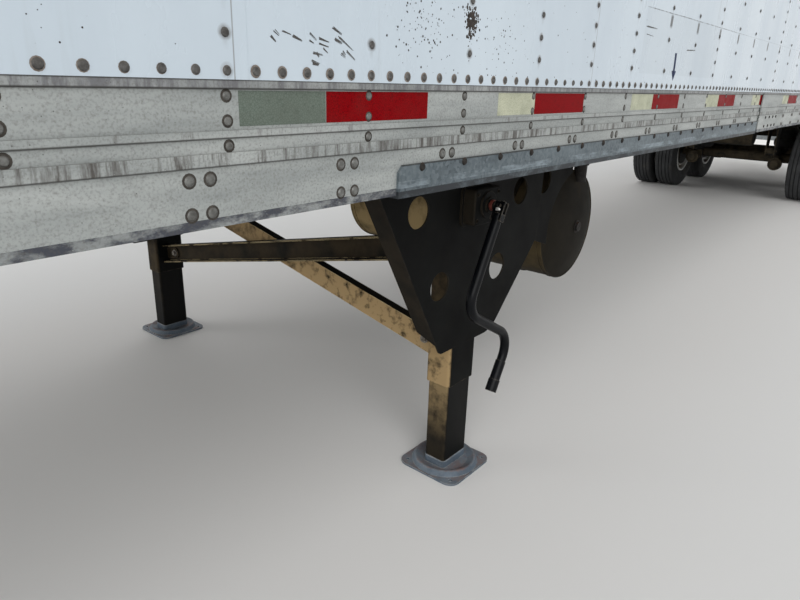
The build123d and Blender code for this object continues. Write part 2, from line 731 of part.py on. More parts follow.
# Tank hangers: a plate down from the cross-members and a strap round the tank at each end, and beyond each
# rim a holed plate whose edge follows the drum
tank_bracket_outline = (
    # distance behind the leg's axis, height above the ground
    (450, beam_bottom), (450, 790), (585, 745), (760, 745), (760, beam_bottom),
)
tank_bracket_hole = (520, 1010)
hanger_half_width = 150
hanger_low = tank_height + 0.75 * tank_radius
strap_radius = tank_radius + 0.3
with BuildPart() as tank_hangers:
    for strap_y in (tank_out_y - tank_strap_inset, tank_in_y + tank_strap_inset):
        with BuildSketch(Plane.XZ.offset(-strap_y - tank_strap_width / 2)):
            with Locations((tank_x, tank_height)):
                Circle(strap_radius + tank_strap_thickness)
                Circle(strap_radius, mode=Mode.SUBTRACT)
        extrude(amount=tank_strap_width)
        with BuildSketch(Plane.XZ.offset(-strap_y - tank_hanger_thickness / 2)):
            with BuildLine():
                Polyline(
                    (tank_x - hanger_half_width, hanger_low),
                    (tank_x - 1.5 * hanger_half_width, beam_bottom),
                    (tank_x + 1.5 * hanger_half_width, beam_bottom),
                    (tank_x + hanger_half_width, hanger_low),
                    close=True,
                )
            make_face()
            with Locations((tank_x, tank_height)):
                Circle(strap_radius, mode=Mode.SUBTRACT)
        extrude(amount=tank_hanger_thickness)
    for bracket_y in (tank_out_y + tank_bracket_offset, tank_in_y - tank_bracket_offset):
        with BuildSketch(Plane.XZ.offset(-bracket_y - tank_bracket_thickness / 2)):
            with BuildLine():
                Polyline(*[(leg_x - back, height) for back, height in tank_bracket_outline], close=True)
            make_face()
            with Locations((leg_x - tank_bracket_hole[0], tank_bracket_hole[1])):
                Circle(tank_bracket_hole_radius, mode=Mode.SUBTRACT)
            with Locations((tank_x, tank_height)):
                Circle(tank_radius + tank_bracket_gap, mode=Mode.SUBTRACT)
        extrude(amount=tank_bracket_thickness)
save("tank_hangers", tank_hangers)

# Tandem wheels: twin tyres, and twin disc wheels joined by the hub and the brake drum
dual_centre_inset = (inner_tyre_inset + outer_tyre_inset) / 2


tread_half = tyre_width / 2 - 28
tread_crown = 30
sidewall_radius = (bead_radius + tyre_radius) / 2
shoulder_radius = tyre_radius - 6
bead_half = rim_width / 2
bead_top = bead_radius + rim_flange + 2
dual_y = half_width - dual_centre_inset
rim_outer = bead_radius - bead_gap
drum_in = half_width - drum_inner_inset
hub_bore = spindle_radius + spindle_gap
web_y = dual_y - disc_thickness
hub_rings = (
    # (distance from the centre line: inboard, outboard), (radius: inner, outer)
    ((drum_in, dual_y + hub_length), (hub_bore, hub_barrel_radius)),
    ((web_y - hub_flange, web_y), (hub_bore, hub_flange_radius)),
    ((drum_in, web_y), (drum_radius - drum_wall, drum_radius)),
    ((web_y - drum_wall, web_y), (hub_radius, drum_radius)),
    ((dual_y + hub_length, dual_y + hub_length + hub_cap_length), (0, hub_cap_radius)),
)
wheel_ends = (
    # name, row of the axle, side of the trailer
    ("front_left", 0, 1), ("front_right", 0, -1), ("rear_left", 1, 1), ("rear_right", 1, -1),
)
for name, row, side in wheel_ends:
    hub_plane = Plane((axle_xs[row], 0, tyre_radius), x_dir=(0, side, 0), z_dir=(-side, 0, 0))
    axle_line = Axis((axle_xs[row], 0, tyre_radius), (0, 1, 0))
    with BuildPart() as tyres:
        for inset in (inner_tyre_inset, outer_tyre_inset):
            tyre_plane = Plane((axle_xs[row], side * (half_width - inset), tyre_radius),
                               x_dir=(0, side, 0), z_dir=(-side, 0, 0))
            with BuildSketch(tyre_plane):
                with BuildLine():
                    Polyline((-tread_half, shoulder_radius), (tread_crown - tread_half, tyre_radius),
                             (tread_half - tread_crown, tyre_radius), (tread_half, shoulder_radius))
                    ThreePointArc((tread_half, shoulder_radius), (tyre_width / 2, sidewall_radius),
                                  (bead_half, bead_top))
                    Polyline((bead_half, bead_top), (bead_half, bead_radius),
                             (-bead_half, bead_radius), (-bead_half, bead_top))
                    ThreePointArc((-bead_half, bead_top), (-tyre_width / 2, sidewall_radius),
                                  (-tread_half, shoulder_radius))
                make_face()
            revolve(axis=axle_line)
    save(f"tyres_{name}", tyres)

    with BuildPart() as wheels:
        for inset, toward in ((inner_tyre_inset, -1), (outer_tyre_inset, 1)):
            rim_y = half_width - inset
            disc_y = rim_y - toward * (rim_width / 2 - 25)
            flange_y = dual_y + toward * disc_thickness / 2
            with BuildSketch(hub_plane):
                with Locations((rim_y, rim_outer - rim_thickness / 2)):
                    Rectangle(rim_width + 2 * bead_gap + 2, rim_thickness)
                for edge in (-1, 1):
                    with Locations((rim_y + edge * (rim_width / 2 + bead_gap + rim_flange / 2),
                                    rim_outer + (rim_flange - rim_thickness) / 2)):
                        Rectangle(rim_flange, rim_flange + rim_thickness)
                with BuildLine():
                    Polyline((flange_y - disc_thickness / 2, 60),
                             (flange_y - disc_thickness / 2, disc_bend_radius),
                             (disc_y - disc_thickness / 2, disc_radius + 6),
                             (disc_y - disc_thickness / 2, rim_outer - rim_thickness / 2),
                             (disc_y + disc_thickness / 2, rim_outer - rim_thickness / 2),
                             (disc_y + disc_thickness / 2, disc_radius + 6),
                             (flange_y + disc_thickness / 2, disc_bend_radius),
                             (flange_y + disc_thickness / 2, 60), close=True)
                make_face()
            revolve(axis=axle_line)
        with Locations(Plane((axle_xs[row], side * dual_y, tyre_radius), z_dir=(0, side, 0))):
            with PolarLocations(hand_hole_circle, hand_holes):
                Hole(hand_hole_radius)
        with BuildSketch(hub_plane):
            for (inboard, outboard), (inner, outer) in hub_rings:
                with Locations(((inboard + outboard) / 2, (inner + outer) / 2)):
                    Rectangle(outboard - inboard, outer - inner)
        revolve(axis=axle_line)
        with Locations(Plane((axle_xs[row], side * dual_y, tyre_radius), z_dir=(0, side, 0))):
            with PolarLocations(stud_circle, stud_count):
                Cylinder(stud_radius, stud_length + disc_thickness,
                         align=(Align.CENTER, Align.CENTER, Align.MIN))
    save(f"wheels_{name}", wheels)

# Axles: a tube with a spindle at each end and a dust shield behind each drum
axle_tube_end = half_width - drum_inner_inset - shield_gap
spindle_end = half_width - dual_centre_inset + hub_length - 5
with BuildPart() as axles:
    for axle_x in axle_xs:
        for radius, reach in ((axle_tube_radius, axle_tube_end), (spindle_radius, spindle_end)):
            with Locations(Plane((axle_x, 0, tyre_radius), z_dir=(0, 1, 0))):
                Cylinder(radius, 2 * reach)
        for side in (-1, 1):
            shield_y = side * (axle_tube_end - shield_thickness / 2)
            with Locations(Plane((axle_x, shield_y, tyre_radius), z_dir=(0, 1, 0))):
                Cylinder(shield_radius, shield_thickness)
save("axles", axles)

# Slider rails: the holed rails under the body that the tandem is pinned to
arm_y = half_width - arm_inset
slider_width = arm_width + 2 * hanger_gap
slider_rail_bottom = beam_bottom - slider_rail_height
rail_mid_x = nose_x - slider_rail_front_setback - slider_rail_length / 2
hole_count = int(slider_rail_length // slider_hole_pitch) - 1
with BuildPart() as slider_rails:
    with BuildSketch(Plane.YZ.offset(rail_mid_x - slider_rail_length / 2)):
        with Locations((arm_y, slider_rail_bottom + slider_rail_height / 2)):
            Rectangle(slider_rail_width, slider_rail_height)
        with Locations((arm_y, slider_rail_bottom + (slider_rail_height - slider_wall) / 2 - 0.5)):
            Rectangle(slider_rail_width - 2 * slider_wall, slider_rail_height - slider_wall + 1,
                      mode=Mode.SUBTRACT)
    extrude(amount=slider_rail_length)
    with Locations(Plane((rail_mid_x, arm_y, slider_rail_bottom + slider_rail_height / 2), z_dir=(0, 1, 0),
                         x_dir=(1, 0, 0))):
        with GridLocations(slider_hole_pitch, 0, hole_count, 1):
            Hole(slider_hole_radius)
    mirror(about=Plane.XZ)
save("slider_rails", slider_rails)

# Slider frame: two box beams, their cross beams and the hangers for the suspension arms
slider_top = slider_rail_bottom
slider_bottom = slider_top - slider_height
slider_front_x = axle_xs[0] + arm_pivot_reach + slider_front_margin
slider_rear_x = axle_xs[1] - arm_spring_reach - slider_rear_margin
slider_length = slider_front_x - slider_rear_x
slider_middle_x = (slider_front_x + slider_rear_x) / 2
slider_cross_bottom = slider_bottom + slider_cross_step
slider_cross_xs = (
    slider_front_x - slider_cross_width, axle_xs[0] - slider_cross_width,
    axle_xs[1] + arm_pivot_reach + slider_cross_width, axle_xs[1] - slider_cross_width,
    slider_rear_x + slider_cross_width,
)
with BuildPart() as slider_frame:
    for side in (-1, 1):
        with Locations((slider_middle_x, side * arm_y, (slider_top + slider_bottom) / 2)):
            Box(slider_length, slider_width, slider_height)
    for beam_x in slider_cross_xs:
        with Locations((beam_x, 0, (slider_top + slider_bottom) / 2)):
            Box(slider_cross_width, 2 * arm_y, slider_top - slider_bottom - 2 * slider_cross_step)
    for axle_x in axle_xs:
        for side in (-1, 1):
            for cheek in (-1, 1):
                cheek_y = side * arm_y + cheek * (slider_width + hanger_thickness) / 2
                with BuildSketch(Plane.XZ.offset(-cheek_y - hanger_thickness / 2)):
                    with BuildLine():
                        Polyline((axle_x + arm_pivot_reach - hanger_length / 2 + 20, slider_bottom),
                                 (axle_x + arm_pivot_reach - 55, arm_pivot_height - 60),
                                 (axle_x + arm_pivot_reach + 55, arm_pivot_height - 60),
                                 (axle_x + arm_pivot_reach + hanger_length / 2, slider_bottom),
                                 (axle_x + arm_pivot_reach + hanger_length / 2, slider_bottom + 60),
                                 (axle_x + arm_pivot_reach - hanger_length / 2 + 20, slider_bottom + 60),
                                 close=True)
                    make_face()
                extrude(amount=hanger_thickness)
            pin_plane = Plane((axle_x + arm_pivot_reach, side * arm_y, arm_pivot_height), z_dir=(0, 1, 0))
            with Locations(pin_plane):
                Cylinder(arm_pin_radius, slider_width + 2 * hanger_thickness + 2 * arm_pin_head)
save("slider_frame", slider_frame)

# Trailing arms: from the eye on the hanger's pin, over the axle, to the air spring's seat
arm_outline = (
    # distance ahead of the axle, height above the ground
    (arm_pivot_reach, arm_pivot_height - arm_eye_radius),
    (arm_pivot_reach, arm_pivot_height + arm_eye_radius),
    (arm_saddle + 10, air_spring_bottom + 5), (-arm_saddle - 10, air_spring_bottom),
    (-arm_spring_reach - 90, air_spring_bottom), (-arm_spring_reach - 90, air_spring_bottom - 50),
    (-arm_saddle, tyre_radius + 40), (-arm_saddle, tyre_radius - 90), (arm_saddle, tyre_radius - 90),
    (arm_saddle + 20, tyre_radius + 30),
)
with BuildPart() as trailing_arms:
    for axle_x in axle_xs:
        for side in (-1, 1):
            with BuildSketch(Plane.XZ.offset(-side * arm_y - arm_width / 2)):
                with BuildLine():
                    Polyline(*[(axle_x + ahead, height) for ahead, height in arm_outline], close=True)
                make_face()
                with Locations((axle_x + arm_pivot_reach, arm_pivot_height)):
                    Circle(arm_eye_radius)
                    Circle(arm_pin_radius + arm_pin_gap, mode=Mode.SUBTRACT)
                with Locations((axle_x, tyre_radius)):
                    Circle(axle_tube_radius, mode=Mode.SUBTRACT)
            extrude(amount=arm_width)
save("trailing_arms", trailing_arms)

# Air springs: two-fold bellows between the arms and the slider frame
spring_height = slider_bottom - air_spring_bottom
with BuildPart() as air_springs:
    for axle_x in axle_xs:
        spring_x = axle_x - arm_spring_reach
        for side in (-1, 1):
            with BuildSketch(Plane((spring_x, side * arm_y, air_spring_bottom), x_dir=(1, 0, 0),
                                   z_dir=(0, -1, 0))):
                with BuildLine():
                    Polyline((air_spring_radius - 30, 0), (0, 0), (0, spring_height),
                             (air_spring_radius - 30, spring_height))
                    ThreePointArc((air_spring_radius - 30, spring_height),
                                  (air_spring_radius, 0.75 * spring_height),
                                  (air_spring_radius - 28, 0.5 * spring_height))
                    ThreePointArc((air_spring_radius - 28, 0.5 * spring_height),
                                  (air_spring_radius, 0.25 * spring_height), (air_spring_radius - 30, 0))
                make_face()
            revolve(axis=Axis((spring_x, side * arm_y, 0), (0, 0, 1)))
save("air_springs", air_springs)

# Brake chambers: two-stage drums ahead of each axle, each on a plate from the axle tube
chamber_y = half_width - brake_chamber_inset
chamber_outline = (
    # distance ahead of its mounting face, radius
    (0, 50), (24, 72), (58, 72), (58, 82), (74, 82), (74, 74),
    (112, 74), (112, 80), (124, 80), (124, 70), (150, 44),
)
with BuildPart() as brake_chambers:
    for axle_x in axle_xs:
        face_x = axle_x + brake_chamber_reach
        for side in (-1, 1):
            with BuildSketch(Plane((face_x, side * chamber_y, brake_chamber_height), x_dir=(1, 0, 0),
                                   z_dir=(0, -1, 0))):
                with BuildLine():
                    Polyline((0, 0), *chamber_outline, (chamber_outline[-1][0], 0), close=True)
                make_face()
            revolve(axis=Axis((face_x, side * chamber_y, brake_chamber_height), (1, 0, 0)))
            plate_y = side * (chamber_y + brake_plate_offset)
            with BuildSketch(Plane.XZ.offset(-plate_y - brake_plate_thickness / 2)):
                with Locations(((axle_x + face_x) / 2, (brake_plate_bottom + brake_plate_top) / 2)):
                    Rectangle(brake_chamber_reach, brake_plate_top - brake_plate_bottom)
                with Locations((axle_x, tyre_radius)):
                    Circle(axle_tube_radius, mode=Mode.SUBTRACT)
            extrude(amount=brake_plate_thickness)
save("brake_chambers", brake_chambers)

# Air tanks: two small drums under the end cross beams of the slider
with BuildPart() as air_tanks:
    air_tank_z = slider_cross_bottom - air_tank_gap - air_tank_radius
    for tank_at in (slider_cross_xs[0], slider_cross_xs[-1]):
        with Locations(Plane((tank_at, 0, air_tank_z), z_dir=(0, 1, 0))):
            Cylinder(air_tank_radius, air_tank_length)
    fillet(air_tanks.edges().filter_by(GeomType.CIRCLE), radius=30)
save("air_tanks", air_tanks)

# Rear frame: posts, header and sill round the doorway, with the hinge ears and the cam keepers
hinge_y = half_width - hinge_inset
hinge_x = door_face_x - hinge_back
door_bottom = floor_top - door_overlap
door_top = body_height - frame_header + door_overlap
doorway_height = body_height - frame_header - floor_top
ear_offset = hinge_barrel_length / 2 + hinge_clearance + hinge_ear_thickness / 2
with BuildPart() as rear_frame:
    with Locations((frame_rear_x + frame_depth / 2, 0, (rail_bottom + body_height) / 2)):
        Box(frame_depth, body_width, body_height - rail_bottom)
    with Locations((frame_rear_x + frame_depth / 2, 0, floor_top + doorway_height / 2)):
        Box(frame_depth, 2 * (half_width - frame_post), doorway_height, mode=Mode.SUBTRACT)
    for side in (-1, 1):
        for z in hinge_heights:
            for end in (-1, 1):
                ear_z = z + end * ear_offset
                with Locations(((hinge_x + frame_rear_x) / 2, side * (hinge_y + 4), ear_z)):
                    Box(frame_rear_x - hinge_x, 2 * hinge_pin_radius + 4, hinge_ear_thickness)
                with Locations((hinge_x, side * hinge_y, ear_z)):
                    Cylinder(hinge_barrel_radius, hinge_ear_thickness)
            with Locations((hinge_x, side * hinge_y, z)):
                Cylinder(hinge_pin_radius, hinge_barrel_length + 2 * hinge_ear_thickness)
        keeper_offset = lock_cam_width / 2 + keeper_gap + keeper_thickness / 2
        for place, pointing, grip_height in lock_rods:
            for keeper_z in (door_bottom - lock_rod_overrun + lock_cam_height / 2,
                             door_top + lock_rod_overrun - lock_cam_height / 2):
                for keeper_y in (hinge_y - place - keeper_offset, hinge_y - place + keeper_offset):
                    with Locations((frame_rear_x - 20, side * keeper_y, keeper_z)):
                        Box(40, keeper_thickness, lock_cam_height + 12)
save("rear_frame", rear_frame)

# Doors: two overlaid leaves, with their hinge straps and lock rods as separate hardware
leaf_outer_y = hinge_y - hinge_edge_gap
leaf_width = leaf_outer_y - door_half_gap
for side, word in ((1, "left"), (-1, "right")):
    with BuildPart() as door:
        with Locations((door_face_x + door_thickness / 2, side * (leaf_outer_y - leaf_width / 2),
                        (door_bottom + door_top) / 2)):
            Box(door_thickness, leaf_width, door_top - door_bottom)
        fillet(door.faces().sort_by(Axis.X)[0].edges(), radius=8)
    save(f"door_{word}", door)

    with BuildPart() as hardware:
        for z in hinge_heights:
            with Locations((door_face_x - hinge_strap_thickness / 2,
                            side * (leaf_outer_y - hinge_strap_length / 2 - 4), z)):
                Box(hinge_strap_thickness, hinge_strap_length, hinge_strap_height)
            with Locations(((hinge_x + door_face_x) / 2, side * (hinge_y - 15), z)):
                Box(hinge_back, 10, hinge_barrel_length)
            with Locations((hinge_x, side * hinge_y, z)):
                Cylinder(hinge_barrel_radius, hinge_barrel_length)
            with Locations((hinge_x, side * hinge_y, z)):
                Cylinder(hinge_pin_radius + hinge_clearance, hinge_barrel_length, mode=Mode.SUBTRACT)
        rod_x = door_face_x - lock_rod_offset
        rod_bottom = door_bottom - lock_rod_overrun
        rod_length = door_top - door_bottom + 2 * lock_rod_overrun
        lock_guide_depth = lock_rod_offset + lock_rod_radius + 6
        for place, pointing, grip_height in lock_rods:
            rod_y = side * (hinge_y - place)
            with Locations((rod_x, rod_y, rod_bottom + rod_length / 2)):
                Cylinder(lock_rod_radius, rod_length)
            for guide in range(lock_guides):
                guide_z = door_bottom + 180 + guide * (door_top - door_bottom - 360) / (lock_guides - 1)
                with Locations((door_face_x - lock_guide_depth / 2, rod_y, guide_z)):
                    Box(lock_guide_depth, lock_guide_width, lock_guide_height)
            for cam_z in (rod_bottom + lock_cam_height / 2, rod_bottom + rod_length - lock_cam_height / 2):
                with Locations((rod_x + lock_cam_reach / 2, rod_y, cam_z)):
                    Box(lock_cam_reach, lock_cam_width, lock_cam_height)
            handle_y = rod_y - side * pointing * handle_length / 2
            with Locations((rod_x - lock_rod_radius, handle_y, grip_height)):
                Box(handle_thickness, handle_length, handle_width)
    save(f"door_hardware_{word}", hardware)

# Dock bumpers: rubber blocks on the sill, the rearmost thing on the trailer
bumper_reach = frame_rear_x - door_face_x + bumper_depth
with BuildPart() as dock_bumpers:
    with Locations((frame_rear_x - bumper_reach / 2, half_width - bumper_inset - bumper_width / 2,
                    rail_bottom + bumper_height / 2)):
        Box(bumper_reach, bumper_width, bumper_height)
    fillet(dock_bumpers.edges().group_by(Axis.X)[0], radius=12)
    mirror(about=Plane.XZ)
save("dock_bumpers", dock_bumpers)

# Rear guard: a low bar on two posts under the sill
with BuildPart() as rear_guard:
    guard_x = frame_rear_x + guard_bar / 2
    with Locations((guard_x, 0, guard_bottom + guard_bar / 2)):
        Box(guard_bar, guard_width, guard_bar)
    for side in (-1, 1):
        with Locations((guard_x, side * guard_post_spacing / 2, (guard_bottom + rail_bottom) / 2)):
            Box(guard_post_width, guard_post_width, rail_bottom - guard_bottom)
save("rear_guard", rear_guard)

# Mud flaps behind the rear duals, each hung from a bracket under the body
flap_x = min(beam_xs, key=lambda beam_x: abs(axle_xs[1] - tyre_radius - flap_gap - beam_x))
flap_y = half_width - flap_width / 2 - 6
with BuildPart() as mud_flaps:
    with Locations((flap_x, flap_y, flap_bottom + flap_height / 2)):
        Box(flap_thickness, flap_width, flap_height)
    mirror(about=Plane.XZ)
save("mud_flaps", mud_flaps)

flap_bar_bottom = flap_bottom + flap_height
with BuildPart() as flap_brackets:
    with Locations((flap_x, flap_y, flap_bar_bottom + flap_bracket / 2)):
        Box(flap_bracket, flap_width, flap_bracket)
    for stay in (-1, 1):
        with Locations((flap_x, flap_y + stay * flap_width / 3, (flap_bar_bottom + beam_bottom) / 2)):
            Box(flap_bracket, flap_bracket, beam_bottom - flap_bar_bottom)
    mirror(about=Plane.XZ)
save("flap_brackets", flap_brackets)

# Cooling unit: the housing on the nose, with a recessed grille
unit_front_x = nose_x + unit_depth
grille_mid = unit_bottom + unit_height - unit_grille_drop - unit_grille_height / 2
unit_door_low = unit_bottom + unit_door_rise
with BuildPart() as cooling_unit:
    with BuildSketch(Plane.XY.offset(unit_bottom)):
        with Locations((nose_x + unit_depth / 2, 0)):
            unit_plan = Rectangle(unit_depth, unit_width)
        fillet(unit_plan.vertices().group_by(Axis.X)[-1], radius=unit_corner_radius)
    extrude(amount=unit_height)
    top_edges = cooling_unit.faces().sort_by(Axis.Z)[-1].edges().sort_by(Axis.X)[1:]
    fillet(top_edges, radius=unit_top_radius)
    with Locations((unit_front_x - unit_grille_depth / 2, 0, grille_mid)):
        Box(unit_grille_depth, unit_grille_width, unit_grille_height, mode=Mode.SUBTRACT)
    for joint_z in (unit_door_low, unit_door_low + unit_door_height):
        with BuildSketch(Plane.XY.offset(joint_z - unit_panel_gap / 2)):
            with Locations((nose_x + unit_depth / 2, 0)):
                joint_plan = Rectangle(unit_depth, unit_width)
            fillet(joint_plan.vertices().group_by(Axis.X)[-1], radius=unit_corner_radius)
            offset(amount=-unit_panel_depth, mode=Mode.SUBTRACT)
        extrude(amount=unit_panel_gap, mode=Mode.SUBTRACT)
    door_mid = unit_door_low + unit_door_height / 2
    with Locations((unit_front_x, 0, door_mid)):
        Box(2 * unit_panel_depth, unit_panel_gap, unit_door_height, mode=Mode.SUBTRACT)
    for side in (-1, 1):
        with Locations((nose_x + unit_side_door, side * unit_width / 2, door_mid)):
            Box(unit_panel_gap, 2 * unit_panel_depth, unit_door_height, mode=Mode.SUBTRACT)
        for louvre in range(unit_louvres):
            louvre_z = unit_bottom + unit_louvre_rise + louvre * unit_louvre_pitch
            with Locations((nose_x + unit_side_door / 2, side * unit_width / 2, louvre_z)):
                Box(unit_louvre_length, 2 * unit_latch_depth, unit_louvre_height, mode=Mode.SUBTRACT)
        with Locations((unit_front_x, side * unit_latch_offset, door_mid)):
            Box(2 * unit_latch_depth, unit_latch_width, unit_latch_height, mode=Mode.SUBTRACT)
        with Locations((unit_front_x - unit_latch_depth, side * unit_latch_offset, door_mid)):
            Box(unit_latch_depth, unit_latch_width * 0.7, unit_latch_grip,
                align=(Align.MIN, Align.CENTER, Align.CENTER))
save("cooling_unit", cooling_unit)

slat_pitch = unit_grille_height / unit_slats
with BuildPart() as unit_grille:
    for slat in range(unit_slats):
        slat_z = grille_mid + (slat - (unit_slats - 1) / 2) * slat_pitch
        with Locations((unit_front_x - unit_grille_depth / 2, 0, slat_z)):
            Box(unit_slat_thickness, unit_grille_width - 1, slat_pitch / 2)
    for upright in (-1, 0, 1):
        upright_y = upright * (unit_grille_width / 2 - 20)
        with Locations((unit_front_x - unit_grille_depth + 12, upright_y, grille_mid)):
            Box(24 - 0.6, 30, unit_grille_height - 1)
        with Locations((unit_front_x - unit_grille_depth / 2 - 4, upright_y, grille_mid)):
            Box(unit_grille_depth / 2, 10, unit_grille_height - 1)
save("unit_grille", unit_grille)

# Nose sockets: a plate with two air coupling heads and the lamp socket between them
with BuildPart() as nose_sockets:
    with Locations((nose_x + socket_plate_thickness / 2, 0, socket_height)):
        Box(socket_plate_thickness, 2 * socket_spacing + 120, 130)
    for place in (-1, 0, 1):
        with Locations(Plane((nose_x + socket_plate_thickness, place * socket_spacing, socket_height),
                             z_dir=(1, 0, 0))):
            Cylinder(socket_radius, socket_length, align=(Align.CENTER, Align.CENTER, Align.MIN))
save("nose_sockets", nose_sockets)

# Lamps: round rear lamps in the sill and header, and marker lamps at the corners
with BuildPart() as lamps_red:
    for side in (-1, 1):
        for place in (760, 900):
            with Locations(Plane((frame_rear_x, side * place, rail_bottom + 90), z_dir=(-1, 0, 0))):
                Cylinder(lamp_radius, lamp_depth, align=(Align.CENTER, Align.CENTER, Align.MIN))
        marker_plane = Plane((frame_rear_x + frame_depth / 2, side * half_width, rail_bottom + 130),
                             z_dir=(0, side, 0))
        with Locations(marker_plane):
            Cylinder(marker_radius, marker_depth / 4, align=(Align.CENTER, Align.CENTER, Align.MIN))
    for place in (-160, 0, 160):
        with Locations(Plane((frame_rear_x, place, body_height - 50), z_dir=(-1, 0, 0))):
            Cylinder(marker_radius, marker_depth, align=(Align.CENTER, Align.CENTER, Align.MIN))
save("lamps_red", lamps_red)

with BuildPart() as lamps_amber:
    for side in (-1, 1):
        with Locations(Plane((nose_x, side * (half_width - 120), body_height - 90), z_dir=(1, 0, 0))):
            Cylinder(marker_radius, marker_depth, align=(Align.CENTER, Align.CENTER, Align.MIN))
save("lamps_amber", lamps_amber)
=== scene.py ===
# Dresses the refrigerated van semi trailer: weathered sheets, rivets, tape, bolts, tyres and fittings
import math
import random

import bmesh
import bpy
from mathutils import Matrix, Vector


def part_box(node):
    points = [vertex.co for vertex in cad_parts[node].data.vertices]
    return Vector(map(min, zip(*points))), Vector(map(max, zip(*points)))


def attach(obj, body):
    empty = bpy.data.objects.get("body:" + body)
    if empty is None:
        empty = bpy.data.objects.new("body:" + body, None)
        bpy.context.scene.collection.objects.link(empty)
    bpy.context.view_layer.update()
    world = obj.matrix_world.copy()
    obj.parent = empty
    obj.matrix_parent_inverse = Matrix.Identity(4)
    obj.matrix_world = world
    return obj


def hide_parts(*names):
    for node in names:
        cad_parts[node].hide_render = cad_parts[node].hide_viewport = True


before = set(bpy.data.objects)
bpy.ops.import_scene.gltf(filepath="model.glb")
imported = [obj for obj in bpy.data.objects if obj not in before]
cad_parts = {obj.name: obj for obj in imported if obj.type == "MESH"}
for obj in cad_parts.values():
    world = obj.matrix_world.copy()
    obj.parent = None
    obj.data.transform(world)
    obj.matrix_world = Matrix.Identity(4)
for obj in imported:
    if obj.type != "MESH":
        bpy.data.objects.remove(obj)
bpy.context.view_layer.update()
scene = bpy.context.scene
mm = 0.001
bothSides = (1, -1)
sideWords = ((1, "left"), (-1, "right"))
print("frame loaded:", len(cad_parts), "nodes")

# places that the frame gives, and the measures that the photograph gives
wallLow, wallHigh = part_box("side_wall_left")
sideY = wallHigh.y
panelY = sideY - 4.5 * mm        # the rail's flat faces lie behind its ribs
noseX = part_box("front_wall")[1].x
firstRivetX = noseX - 2.465      # the column of rivets at the left of the photograph
sheetLength = 1.2192             # of each outer sheet
sheetSeam = 0.013                # from that column back to the first joint
postPitch = 0.3048
rivetPitch = 0.0508
lowestRivetZ = wallLow.z + 12.2 * mm


# colours and shader helpers
def tint(red, green, blue):      # a screen colour, 0 to 255, as the shader's linear one
    parts = [value / 255 for value in (red, green, blue)]
    return tuple(p / 12.92 if p <= 0.04045 else ((p + 0.055) / 1.055) ** 2.4 for p in parts) + (1.0,)


def feed(tree, value, socket):   # a socket is linked, a plain value is set
    if isinstance(value, bpy.types.NodeSocket):
        tree.links.new(value, socket)
    else:
        socket.default_value = value


def calc(tree, operation, first, second=0.0, clamp=False):
    node = tree.nodes.new("ShaderNodeMath")
    node.operation = operation
    node.use_clamp = clamp
    feed(tree, first, node.inputs[0])
    feed(tree, second, node.inputs[1])
    return node.outputs[0]


def times(tree, first, second, clamp=False):
    return calc(tree, "MULTIPLY", first, second, clamp)


def plus(tree, first, second):
    return calc(tree, "ADD", first, second)


def minus(tree, first, second):
    return calc(tree, "SUBTRACT", first, second)


def distance(tree, first, second):
    return calc(tree, "ABSOLUTE", minus(tree, first, second))


def remap(tree, value, low, high, toLow=0.0, toHigh=1.0):
    node = tree.nodes.new("ShaderNodeMapRange")
    node.clamp = True
    for index, number in enumerate((value, low, high, toLow, toHigh)):
        feed(tree, number, node.inputs[index])
    return node.outputs[0]


def noise(tree, vector, scale, detail=4.0, rough=0.55):
    node = tree.nodes.new("ShaderNodeTexNoise")
    feed(tree, vector, node.inputs["Vector"])
    feed(tree, scale, node.inputs["Scale"])
    node.inputs["Detail"].default_value = detail
    node.inputs["Roughness"].default_value = rough
    return node.outputs[0]


def cells(tree, vector, scale, feature="F1"):
    node = tree.nodes.new("ShaderNodeTexVoronoi")
    node.feature = feature
    feed(tree, vector, node.inputs["Vector"])
    feed(tree, scale, node.inputs["Scale"])
    return node


def stretch(tree, vector, factors):
    node = tree.nodes.new("ShaderNodeVectorMath")
    node.operation = "MULTIPLY"
    tree.links.new(vector, node.inputs[0])
    node.inputs[1].default_value = factors
    return node.outputs[0]


def split(tree, kind, value):    # the axes of a vector, or the parts of a colour
    node = tree.nodes.new("ShaderNodeSeparate" + kind)
    tree.links.new(value, node.inputs[0])
    return node.outputs


def normalOf(tree):
    return tree.nodes.new("ShaderNodeNewGeometry").outputs["Normal"]


def mixColour(tree, factor, first, second):
    node = tree.nodes.new("ShaderNodeMix")
    node.data_type = "RGBA"
    feed(tree, factor, node.inputs[0])
    feed(tree, first, node.inputs[6])
    feed(tree, second, node.inputs[7])
    return node.outputs[2]


def addBump(tree, shader, height, strength, depth):
    bump = tree.nodes.new("ShaderNodeBump")
    bump.inputs["Strength"].default_value = strength
    bump.inputs["Distance"].default_value = depth
    tree.links.new(height, bump.inputs["Height"])
    tree.links.new(bump.outputs[0], shader.inputs["Normal"])


def newMaterial(name):
    material = bpy.data.materials.new(name)
    material.use_nodes = True
    tree = material.node_tree
    place = tree.nodes.new("ShaderNodeTexCoord").outputs["Object"]
    return material, tree, tree.nodes["Principled BSDF"], place


def newGroup(name, inputs, output):
    group = bpy.data.node_groups.new(name, "ShaderNodeTree")
    for label, kind, default in inputs:
        socket = group.interface.new_socket(label, in_out="INPUT", socket_type="NodeSocket" + kind)
        if default is not None:
            socket.default_value = default
    group.interface.new_socket(output, in_out="OUTPUT", socket_type="NodeSocketFloat")
    return group, group.nodes.new("NodeGroupInput").outputs, group.nodes.new("NodeGroupOutput").inputs[0]


def useGroup(tree, group, vector, **values):
    node = tree.nodes.new("ShaderNodeGroup")
    node.node_tree = group
    tree.links.new(vector, node.inputs["Vector"])
    for label, value in values.items():
        feed(tree, value, node.inputs[label])
    return node.outputs[0]


